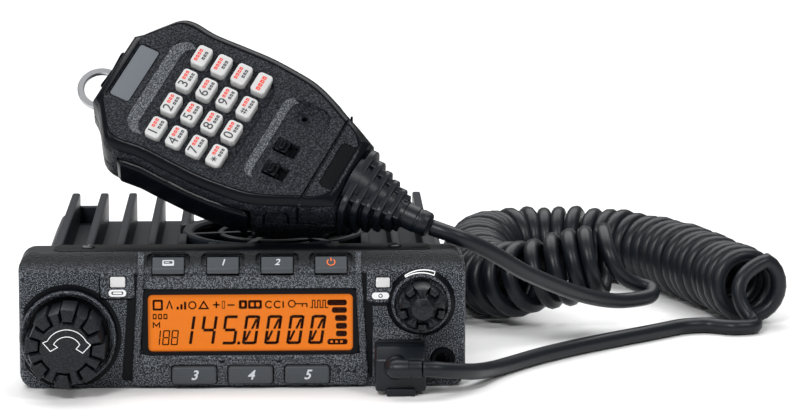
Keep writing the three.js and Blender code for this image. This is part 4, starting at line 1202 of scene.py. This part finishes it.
def make_rear_screws():
    flip = Matrix.Rotation(math.pi, 4, "X")
    small = [(ANTENNA_X + sx * 9, ANTENNA_Z + sz * 9, BACK - 2.7) for sx in (-1, 1) for sz in (-1, 1)]
    large = [(x, z, BACK) for x in (-63, 63) for z in (7, 28)] + [(22, z, BACK) for z in (7, 27)]
    heads = [put(screw_head(1.7), Matrix.Translation(place) @ flip) for place in small]
    heads += [put(screw_head(2.2), Matrix.Translation(place) @ flip) for place in large]
    add_piece("rear_screws", merged(*heads), PANEL, dark_screw, "root")


def make_power_inlet():
    shell = washer(rounded(29, 51, 9.5, 22.5, 1.8), rounded(30.6, 49.4, 11.1, 20.9, 0.9), 0.3, 8.9, 0.3)
    floor = prism(rounded(29.4, 50.6, 10, 22, 1.2), 0.3, 1.6)
    blades = [prism(rounded(40 + s * 6 - 0.6, 40 + s * 6 + 0.6, 13.6, 18.4, 0.2), 1.2, 7.6, 0.2)
              for s in (-1, 1)]
    flip = Matrix.Translation((0, 0, BACK)) @ Matrix.Scale(-1, 4, (0, 0, 1))
    stand_in("dc_power_inlet", "inlet_shell", put(merged(shell, floor), flip), PANEL, smooth_plastic, "root")
    add_piece("inlet_blades", put(merged(*blades), flip), PANEL, gold, "root")


def make_rear_fittings():
    make_antenna_socket()
    make_rear_screws()
    make_power_inlet()
    jack = turned([(4, BACK + 6), (4, BACK - 3.6), (3.6, BACK - 4.2), (2.4, BACK - 4.4), (1.9, BACK - 4.2),
                   (1.8, BACK + 4), (1.8, BACK + 6)], 40, closed=True)
    jack = shifted(jack, SPEAKER_JACK_X, SPEAKER_JACK_Z)
    stand_in("ext_speaker_jack", "speaker_jack_ring", jack, PANEL, plated, "root")
    label = prism(rounded(-20, -2, 6.5, 26.5, 1), BACK - 0.2, BACK + 0.4)
    add_piece("rear_label", label, PANEL, plate_grey, "root")


def paint_frame_nodes():
    """The parts that keep their own CAD shape: the boards and works inside, the socket and the fan."""
    looks = {
        "front_board": board_green, "main_board": board_green, "mic_board": board_green,
        "rf_power_module": plated, "speaker": cover_steel, "channel_encoder": steel, "volume_pot": steel,
        "mic_socket": smooth_plastic, "fan_frame": smooth_plastic, "fan_rotor": smooth_plastic,
    }
    for name, material in looks.items():
        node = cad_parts[name]
        node.data.materials.clear()
        node.data.materials.append(material)


# ---------- microphone ----------

MIC_BACK, MIC_PARTING = -25.0, -13.0
# The housing's edge from head to cord: places along it and the half width at each.
MIC_EDGE = [
    (-36.3, 14.2), (-32.5, 17.3), (-28, 23.4), (-24.5, 27.4), (-20, 28.5), (-12, 27.6), (-1, 28),
    (9, 28.3), (19, 27.6), (27, 26.4), (34.5, 23.6), (41, 20.4), (47, 17.6), (54.3, 14),
]
KEY_PITCH = (7.55, 10.4)
KEY_HALF = (2.65, 3.9)
KEY_ROWS = (("key_1", "key_2", "key_3", "key_a"), ("key_4", "key_5", "key_6", "key_b"),
            ("key_7", "key_8", "key_9", "key_c"), ("key_star", "key_0", "key_hash", "key_d"))
SWITCHES = {"lock_switch": (29.7, -1.4), "tone_switch": (30.5, -10.7)}
SWITCH_SLOT = (7.9, 5.0)
MIC_INSIDE = -4.0
MIC_AXIS_DEPTH = -12.0
HANGER_X = -42
MIC_WINDOW = (-31.75, -24.65, -10.8, 10.8)
# The sunken fields of the keypad and of the switches: their depths, and outlines above and below a slope.
RECESS = -1.5
SWITCH_FIELD = -1.4
PAD_TOP, PAD_LOW = rounded(-22.6, 17.1, -20.6, 19.4, 6.5), rounded(-17.9, 16.2, -19.2, 18.2, 4.6)
FIELD_TOP, FIELD_LOW = rounded(20.6, 38.2, -17.6, 16.8, 4.2), rounded(23.8, 37.6, -16.9, 16.1, 3.4)
MIC_FLIP = Matrix.Rotation(math.pi, 4, "X")
# Sections across the microphone, drawn as (across, up) round the cord's axis and run along it.
ALONG = MIC @ Matrix(((0, 0, 1, 0), (1, 0, 0, 0), (0, 1, 0, MIC_AXIS_DEPTH), (0, 0, 0, 1)))


def mic_outline(grow=0.0):
    """The housing's outline, seen from its face."""
    edge = [(x, half + grow) for x, half in MIC_EDGE]
    edge[0] = (edge[0][0] - grow, edge[0][1])
    edge[-1] = (edge[-1][0] + grow, edge[-1][1])
    upper = [tuple(p) for p in spline(edge, 5)]
    return [(x, -y) for x, y in upper] + upper[::-1]


def ptt_notch():
    return box(-19.3, 29.3, -33, -24, -18.8, -5.7)


def key_place(row, column):
    return (row - 1.5) * KEY_PITCH[0], (column - 1.5) * KEY_PITCH[1]


def key_outline(row, column):
    x, y = key_place(row, column)
    return rounded(x - KEY_HALF[0], x + KEY_HALF[0], y - KEY_HALF[1], y + KEY_HALF[1], 1.3, 5)


def highlight_sheet(top, bottom, depth, edge):
    """A thin sheet of painted highlight on the head-end slope of a sunken field, between its upper and its
    lower outline.
    """
    bm = bmesh.new()
    strips = []
    for (x0, y0), (x1, y1) in zip(top, bottom):
        if x0 < edge:
            ends = [(x0 + (x1 - x0) * part, y0 + (y1 - y0) * part, depth * part) for part in (0.12, 0.95)]
            strips.append([bm.verts.new((x, y, z + lift)) for lift in (0.12, -0.1) for x, y, z in ends])
    strips.sort(key=lambda strip: strip[0].co.y)
    for a, b in zip(strips, strips[1:]):
        for i, j in ((0, 1), (1, 3), (3, 2), (2, 0)):
            bm.faces.new((a[i], a[j], b[j], b[i]))
    for strip in (strips[0], strips[-1]):
        bm.faces.new((strip[0], strip[1], strip[3], strip[2]))
    bmesh.ops.recalc_face_normals(bm, faces=bm.faces)
    return bm


def make_slope_highlights():
    # Painted highlights: sheets of brighter flecks over the head-end slopes of both sunken fields.
    keypad = highlight_sheet(PAD_TOP(), PAD_LOW(), RECESS + 0.1, -17)
    switches = highlight_sheet(FIELD_TOP(), FIELD_LOW(), SWITCH_FIELD + 0.1, 23.5)
    mic_part("mic_slope_highlights", merged(keypad, switches), mic_painted_highlight)


def keypad_field(m):
    """The keypad's sunken field, with a wide slope at the head end. Returns its rim and the keys' holes."""
    rim = m.ring(PAD_TOP())
    middle = m.ring(rounded(-22.0, 16.9, -20.3, 19.1, 6.3)(), -0.15)
    low = m.ring(PAD_LOW(), RECESS + 0.1)
    floor = m.ring(rounded(-17.4, 16.0, -18.9, 18.0, 4.4)(), RECESS)
    for a, b in ((rim, middle), (middle, low), (low, floor)):
        m.wall(a, b)
    holes = [m.steps(key_outline(row, column), [(0.35, RECESS), (0.35, MIC_INSIDE)])
             for row in range(4) for column in range(4)]
    m.flat(floor, *[top for top, _ in holes])
    return rim, [end for _, end in holes]


def switch_field(m):
    """The sunken field of the two switches and the microphone hole. Returns its rim and the holes."""
    rim = m.ring(FIELD_TOP())
    low = m.ring(FIELD_LOW(), SWITCH_FIELD + 0.1)
    floor = m.ring(rounded(24.2, 37.3, -16.6, 15.8, 3.2)(), SWITCH_FIELD)
    m.wall(rim, low)
    m.wall(low, floor)
    length, width = SWITCH_SLOT
    holes = []
    for x, y in SWITCHES.values():
        slot = rounded(x - length / 2, x + length / 2, y - width / 2, y + width / 2, 0.5)
        holes.append(m.steps(slot, [(0.35, SWITCH_FIELD), (0, SWITCH_FIELD - 0.35), (0, MIC_INSIDE)]))
    holes.append(m.steps(circle(29.6, 11.6, 1.0, 32), [
        (2.2, SWITCH_FIELD), (1.3, SWITCH_FIELD - 0.7), (0.2, SWITCH_FIELD - 0.85), (0, SWITCH_FIELD - 1),
        (0, MIC_INSIDE)]))
    m.flat(floor, *[top for top, _ in holes])
    return rim, [end for _, end in holes]


def face_groove(low):
    """What cuts the groove across the cord end of the face."""
    return box(42.6, 43.8, -30, 30, low, 2)


def make_mic_front():
    m = Moulding()
    edge_height = MIC_PARTING + 0.15
    edge, face = m.steps(mic_outline, [
        (-0.25, edge_height), (0, MIC_PARTING + 0.5), (0, -4.6), (-0.25, -3.4), (-0.9, -2.2), (-1.9, -1.1),
        (-2.7, -0.45), (-3.3, -0.12), (-3.9, 0)])
    _, inside = m.steps(mic_outline, [(-2.4, edge_height), (-2.4, MIC_INSIDE - 1), (-4.4, MIC_INSIDE)])
    m.wall(edge, m.ring(mic_outline(-2.4), edge_height))
    pad_rim, key_ends = keypad_field(m)
    field_rim, switch_ends = switch_field(m)
    window_top, window_floor = m.steps(rounded(*MIC_WINDOW, 1.0), [(0.55, 0), (0.3, -0.3), (0.3, -1.3)])
    m.flat(window_floor)
    inlay_top, inlay_floor = m.steps(rounded(45.6, 51.6, -9.2, 8.6, 1.5), [(0.25, 0), (0, -0.45)])
    m.flat(inlay_floor)
    m.flat(face, pad_rim, field_rim, window_top, inlay_top)
    m.flat(inside, *key_ends, *switch_ends)
    rocker = box(-40, -33.2, -7.6, 7.6, -10.8, -4.7)
    shell = mic_part("mic_face", m.bm, mic_plastic, cutters=(ptt_notch(), rocker, face_groove(-1.4)),
                     smooth=28)
    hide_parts("mic_front_shell")


def make_mic_face_details():
    """The woven inlay, the smooth band round the grained face and the dark liner of the switches."""
    mic_part("mic_inlay", prism(rounded(45.7, 51.5, -9.1, 8.5, 1.4), -0.4, -0.12, 0.1), inlay_weave)
    m = Moulding()
    outer, under = m.steps(mic_outline, [
        (-0.75, -2.45), (-0.8, -2.2), (-1.8, -1.0), (-2.6, -0.37), (-3.2, -0.04), (-3.6, 0.07), (-4.0, 0.03),
        (-4.0, -0.3), (-2.6, -1.2)])
    m.wall(under, outer)
    band = mic_part("mic_face_band", m.bm, mic_smooth, cutters=[face_groove(-3)], smooth=40)
    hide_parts("mic_front_shell")
    mic_part("switch_liner", prism(rounded(23, 37.6, -16.8, 16.2, 1), -4.8, -4.45), mic_smooth)


def make_mic_rear():
    m = Moulding()
    back, edge = m.steps(mic_outline, [
        (-5.6, MIC_BACK), (-4.0, MIC_BACK + 0.35), (-2.6, MIC_BACK + 1.3), (-1.3, MIC_BACK + 3.2),
        (-0.5, MIC_BACK + 5.2), (0, MIC_BACK + 7.2), (0, MIC_PARTING - 0.5), (-0.25, MIC_PARTING - 0.15)])
    inside, rim = m.steps(mic_outline, [(-6.4, MIC_BACK + 2.6), (-2.6, MIC_BACK + 7),
                                        (-2.4, MIC_PARTING - 0.15)])
    m.wall(edge, rim)
    m.flat(inside)
    back_top, back_floor = m.steps(rounded(-16, 34, -16, 16, 6), [(0, MIC_BACK), (-0.6, MIC_BACK + 0.5)])
    m.flat(back, back_top)
    m.flat(back_floor)
    tab = box(-42, -28.6, -4.4, 4.4, -22.9, -20.3)
    ring = shifted(prism(circle(0, 0, 8.6, 48), -22.9, -20.3), HANGER_X)
    shell = mic_part("mic_back", m.bm, mic_plastic, cutters=(ptt_notch(), tab, ring), smooth=28)
    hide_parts("mic_rear_shell")
    # The squared-off foot of the lower edge, cut level just over the fins.
    foot_edge = corners([(29.9, -24.9), (34.5, -23.3), (41, -20.1), (50.5, -15.8), (50.5, -8), (29.9, -8)])
    foot = mic_part("mic_foot", prism(foot_edge, MIC_BACK + 0.4, MIC_PARTING - 0.6, 0.3), mic_plastic)
    carve(foot, [put(box(-100, 100, -200, 200, -50, FIN_TOP + 0.6), Matrix.Scale(MM, 4))])
    heads = [put(screw_head(2.0), MIC_FLIP @ Matrix.Translation((x, -y, -MIC_BACK - 0.9)))
             for x, y in ((-14, 21), (-14, -21), (38, 13.5), (38, -13.5))]
    mic_part("mic_screws", merged(*heads), dark_screw)
    badge = prism(rounded(-8, 24, -9, 9, 2), MIC_BACK + 0.1, MIC_BACK + 0.6)
    mic_part("mic_back_plate", badge, plate_grey)


def make_mic_side_lines():
    """Thin dark lines for the engraved arch and for the end of the face's groove, on both side walls. The
    cuts are real; here they are tubes on the wall, and their dark colour is painted shade.
    """
    arch = [(33.2, -12.8), (33.5, -7.0), (34.4, -5.2), (36.9, -4.6), (39.4, -5.2), (40.3, -7.0),
            (40.6, -12.8)]
    groove = [(43.2, -1.6), (43.2, -7.0), (43.2, -12.8)]
    lines = []
    for side in (-1, 1):
        for line in (arch, groove):
            # The side wall draws in by 0.492 for each millimetre towards the cord.
            on_wall = [Vector((x, side * (23.5 - 0.492 * (x - 34.5)), z)) for x, z in line]
            lines.append(swept(on_wall, 0.45, 8))
    mic_part("mic_side_lines", merged(*lines), mic_smooth)


def make_mic_window():
    sheet = mic_part("mic_window_plate", prism(rounded(*MIC_WINDOW, 0.9), -1, -0.25, 0.15), plate_grey)
    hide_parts("mic_window")


def mark(count, size, x, y, height):
    """A short row of plain blocks, where a real key has its small second legend."""
    parts = []
    for i in range(count):
        y0 = y + (i - count / 2) * (size + 0.28)
        outer = rounded(x - size * 0.62, x + size * 0.62, y0, y0 + size, 0.12, 2)
        hole = rounded(x - size * 0.1, x + size * 0.25, y0 + size * 0.35, y0 + size * 0.65, 0.04, 1)
        parts.append(plate(outer, height, hole))
    return parts


def key_symbol(label, x, y, height):
    """The first legend of a key: a number, a star of three strokes or a cross-hatch of four."""
    if label.isdigit():
        bold = 0.0 if label == "4" else 0.018
        return [shifted(turned_by(numeral(label, 4.9, height, 0, bold), 90), x, y - 2.0)]
    made = []
    if label == "star":
        for i in range(3):
            line = ribbon([(-1.0, 0), (1.0, 0)], 0.34, height)
            made.append(shifted(turned_by(line, 60 * i + 30), x, y - 1.9))
        return made
    for offset in (-0.45, 0.45):
        for line in ([(-1.1, offset), (1.1, offset)], [(offset, -1.1), (offset, 1.1)]):
            made.append(shifted(ribbon(line, 0.3, height), x, y - 1.9))
    return made


def key_legends(label, x, y, height):
    """The dark and the red legends of a key."""
    if label == "d":
        return [], mark(4, 1.2, x, y - 0.1, height)
    if label in ("a", "b", "c"):
        return mark(3, 0.9, x + 1.05, y + 0.5, height), mark(4, 0.98, x - 1.05, y - 0.1, height)
    dark = [*key_symbol(label, x, y, height), *mark(3, 0.86, x + 1.05, y + 1.5, height)]
    return dark, mark(3, 0.94, x - 1.0, y + 1.4, height)


def make_mic_keys():
    top = 1.2
    for row, names in enumerate(KEY_ROWS):
        for column, name in enumerate(names):
            key = prism(key_outline(row, column), -4.4, top, 0.55, 0)
            stand_in(name, f"{name}_cap", key, MIC, white_key, name)
            label = name.removeprefix("key_")
            dark, red = key_legends(label, *key_place(row, column), top + 0.03)
            if dark:
                add_piece(f"{name}_dark_mark", merged(*dark), MIC, dark_paint, name)
            add_piece(f"{name}_red_mark", merged(*red), MIC, red_paint, name)


def make_mic_controls():
    for name, (x, y) in SWITCHES.items():
        left = x - SWITCH_SLOT[0] / 2 + 0.3
        body = prism(rounded(left, left + 4.4, y - 2.1, y + 2.1, 0.5), -4.4, -0.9, 0.35, 0)
        nib = prism(rounded(left + 1.3, left + 3.1, y - 1.9, y + 1.9, 0.6), -1.6, 0.45, 0.4, 0)
        stand_in(name, f"{name}_slider", merged(body, nib), MIC, mic_smooth, name)
    outer = [(x, -min(30.2, half + 2.0), 0.6) for x, half in ptt_edge()]
    inner = [(29, -26.2), (5, -26.4), (-19, -26.2)]
    bar = prism(corners([*outer, *inner], 0.8), -18.5, -5.9, 1.7)
    stand_in("ptt_bar", "ptt_grip", bar, MIC, mic_smooth, "ptt_bar")
    shape = corners([(-33.6, -6.2), (-33.6, 6.2), (-36.9, 7.2, 0.8), (-36.4, 0, 2), (-36.9, -7.2, 0.8)][::-1],
                    0.4)
    rocker = prism(shape, -10.4, -5.0, 0.6)
    stand_in("up_down_rocker", "rocker_cap", rocker, MIC, mic_smooth, "up_down_rocker")


def ptt_edge():
    """Points of the housing's edge along the talk bar, from the head end to the cord end."""
    line = [p for p in spline(MIC_EDGE, 5) if -18 < p[0] < 28.5]
    return [(-19, 27.2), *[(p[0], p[1]) for p in line[::4]], (29, 26.0)]


def make_hanger():
    ring = turned([(5.8, -0.5), (6.1, -0.8), (7.8, -0.8), (8.1, -0.5), (8.1, 0.5), (7.8, 0.8), (6.1, 0.8),
                   (5.8, 0.5)],
                  closed=True)
    tab = prism(rounded(7.2, 12.8, -4, 4, 0.8), -0.8, 0.8, 0.2)
    loop = mic_part("hanger_loop", shifted(merged(ring, tab), HANGER_X, 0, -21.6), steel)
    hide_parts("hanger_ring")


def make_boot():
    """The ribbed strain relief: a cone, slabs joined by webs, and a sleeve round the cord."""
    start, count, pitch = 54.6, 5, 3.48
    cone = turned([(0, -1.2), (12.0, -1.2), (11.0, 2), (8.2, 8), (4.4, 18), (4.4, 18.5), (0, 18.5)], 40)
    parts = [shifted(cone, 0, 0, start)]
    for i in range(count):
        width = 13.4 - 8 * (i / count) ** 0.8
        tall = min(width * 0.86, 11.0)
        low = start + i * pitch
        parts.append(prism(rounded(-width, width, -tall, tall, tall * 0.5, 8), low, low + 2.3, 0.45))
        for side in (-1, 1):
            web = side * (width * 0.55)
            outline = rounded(web - 1.3, web + 1.3, -tall + 1.3, tall - 1.3, 0.4)
            parts.append(prism(outline, low + 1, low + 4.2))
    sleeve = turned([(0, 0), (4.7, 0), (4.7, 1.2), (4.4, 1.6), (4.4, 5.6), (4.1, 5.9), (4.1, 6.5), (4.3, 6.8),
                     (4.2, 9.4), (3.8, 10), (0, 10)], 40)
    parts.append(shifted(sleeve, 0, 0, 72))
    stand_in("mic_boot", "boot_ribs", merged(*parts), ALONG, cord_rubber, "microphone")


# ---------- cord ----------

CORD_RADIUS = 0.0027
COIL_LINE_RADIUS = 0.0113
COIL_TURNS = 44
# From the microphone's strain relief to the mouth of the curly part, in the row frame.
MIC_LEAD_ROUTE = [
    (0.062, -0.0412, 0.0496), (0.0665, -0.0426, 0.0482), (0.072, -0.0426, 0.0461), (0.079, -0.0396, 0.0424),
    (0.086, -0.0346, 0.0376), (0.093, -0.0284, 0.0324), (0.1, -0.0212, 0.028), (0.107, -0.0136, 0.0238),
    (0.1145, -0.0046, 0.0196), (0.1215, 0.005, 0.0162), (0.128, 0.0124, 0.014), (0.1342, 0.017, 0.0134),
    (0.14, 0.021, 0.0136), (0.1434, 0.0252, 0.0146), (0.1424, 0.0287, 0.016), (0.1382, 0.0292, 0.0167),
]
# Along the middle of the curly part.
CURLY_ROUTE = [
    (0.1298, 0.0297, 0.026), (0.12, 0.0307, 0.024), (0.1105, 0.0319, 0.0216), (0.0995, 0.0349, 0.0184),
    (0.0908, 0.043, 0.0156), (0.0862, 0.056, 0.0142), (0.0846, 0.072, 0.014), (0.0844, 0.089, 0.014),
    (0.0858, 0.106, 0.014), (0.0915, 0.12, 0.014), (0.103, 0.1274, 0.014), (0.1176, 0.1274, 0.014),
    (0.132, 0.1226, 0.014), (0.1446, 0.1141, 0.014), (0.154, 0.101, 0.014), (0.1607, 0.086, 0.014),
    (0.1666, 0.07, 0.014), (0.1724, 0.052, 0.014), (0.179, 0.031, 0.014),
]
# From the far mouth of the curly part, along the surface, up to the plug.
PLUG_LEAD_ROUTE = [
    (0.1804, 0.0266, 0.0029), (0.1796, 0.0224, 0.0028), (0.1756, 0.0196, 0.0028), (0.169, 0.0204, 0.0028),
    (0.1615, 0.024, 0.0028), (0.1525, 0.0224, 0.0028), (0.1445, 0.016, 0.0028), (0.1362, 0.009, 0.0028),
    (0.1213, -0.0034, 0.0028), (0.11, -0.0136, 0.0028), (0.099, -0.025, 0.0028), (0.0905, -0.0355, 0.0028),
    (0.0842, -0.0445, 0.0031), (0.0802, -0.0514, 0.0038), (0.0774, -0.0576, 0.0048), (0.0742, -0.064, 0.006),
    (0.07, -0.0694, 0.0074), (0.0654, -0.0736, 0.0086), (0.0616, -0.0755, 0.0094), (0.0579, -0.0758, 0.0096),
]


def coil_line():
    """The curly part: a helix round its route, with turns that are not quite alike."""
    axis = spline(CURLY_ROUTE, 12)
    lengths = [0.0]
    for a, b in zip(axis, axis[1:]):
        lengths.append(lengths[-1] + (b - a).length)
    total = lengths[-1]
    tangents = [(axis[min(i + 1, len(axis) - 1)] - axis[max(i - 1, 0)]).normalized()
                for i in range(len(axis))]
    steps = COIL_TURNS * 24
    down = Vector((0, 0, -1))
    points = []
    index = 0
    for k in range(steps + 1):
        s = total * k / steps
        while index < len(axis) - 2 and lengths[index + 1] < s:
            index += 1
        t = (s - lengths[index]) / (lengths[index + 1] - lengths[index])
        centre = axis[index].lerp(axis[index + 1], t)
        along = tangents[index].lerp(tangents[index + 1], t).normalized()
        low = (down - along * down.dot(along)).normalized()
        side = along.cross(low)
        turn = TAU * COIL_TURNS * k / steps
        # Slow waves make some turns tighter and some lean along the route.
        tighter = 0.03 * (1 - math.cos(turn * 0.317)) + 0.02 * (1 - math.cos(turn * 0.113))
        lean = 0.0009 * math.sin(turn * 1.0 + 0.6) + 0.0006 * math.sin(turn * 0.231)
        radius = COIL_LINE_RADIUS * (1 - tighter)
        points.append(centre + (low * math.cos(turn) + side * math.sin(turn)) * radius + along * lean)
    return points


def smoothed(line, around, reach=14, rounds=40):
    """Eases the line's corners within `reach` points of each place in `around`."""
    line = [p.copy() for p in line]
    for _ in range(rounds):
        before = [p.copy() for p in line]
        for place in around:
            for i in range(max(1, place - reach), min(len(line) - 1, place + reach)):
                line[i] = before[i].lerp((before[i - 1] + before[i + 1]) / 2, 0.5)
    return line


def make_cord():
    lead = spline(MIC_LEAD_ROUTE, 5)
    coil = coil_line()
    tail = spline(PLUG_LEAD_ROUTE, 5)
    line = smoothed([*lead, *coil, *tail], (len(lead), len(lead) + len(coil)))
    for point in line:
        point.z = max(point.z, CORD_RADIUS + 0.0001)
    bm = swept(line, CORD_RADIUS, 12)
    bmesh.ops.recalc_face_normals(bm, faces=bm.faces)
    mesh = bpy.data.meshes.new("cord")
    bm.to_mesh(mesh)
    bm.free()
    mesh.materials.append(cord_rubber)
    mesh.shade_smooth()
    cord = bpy.data.objects.new("cord", mesh)
    bpy.context.scene.collection.objects.link(cord)
    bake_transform(cord)
    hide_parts("mic_lead", "curly_cord", "plug_lead")


# ---------- assembly ----------

make_camera()
make_stage()
make_bezel()
make_centre_frame()
make_knob_flares()
make_face_details()
make_right_corner()
make_painted_valley_shade()
make_top_strip()
make_lamps()
make_top_keys()
make_lower_keys()
make_display()
make_channel_knob()
make_volume_knob()
plug = make_plug()
make_aux_jack()
make_heatsink()
make_fan_guard()
make_bottom_cover()
make_rear_fittings()
make_mic_front()
make_mic_face_details()
make_slope_highlights()
make_mic_rear()
make_mic_side_lines()
make_mic_window()
make_mic_keys()
make_mic_controls()
make_hanger()
make_boot()
make_cord()
paint_frame_nodes()
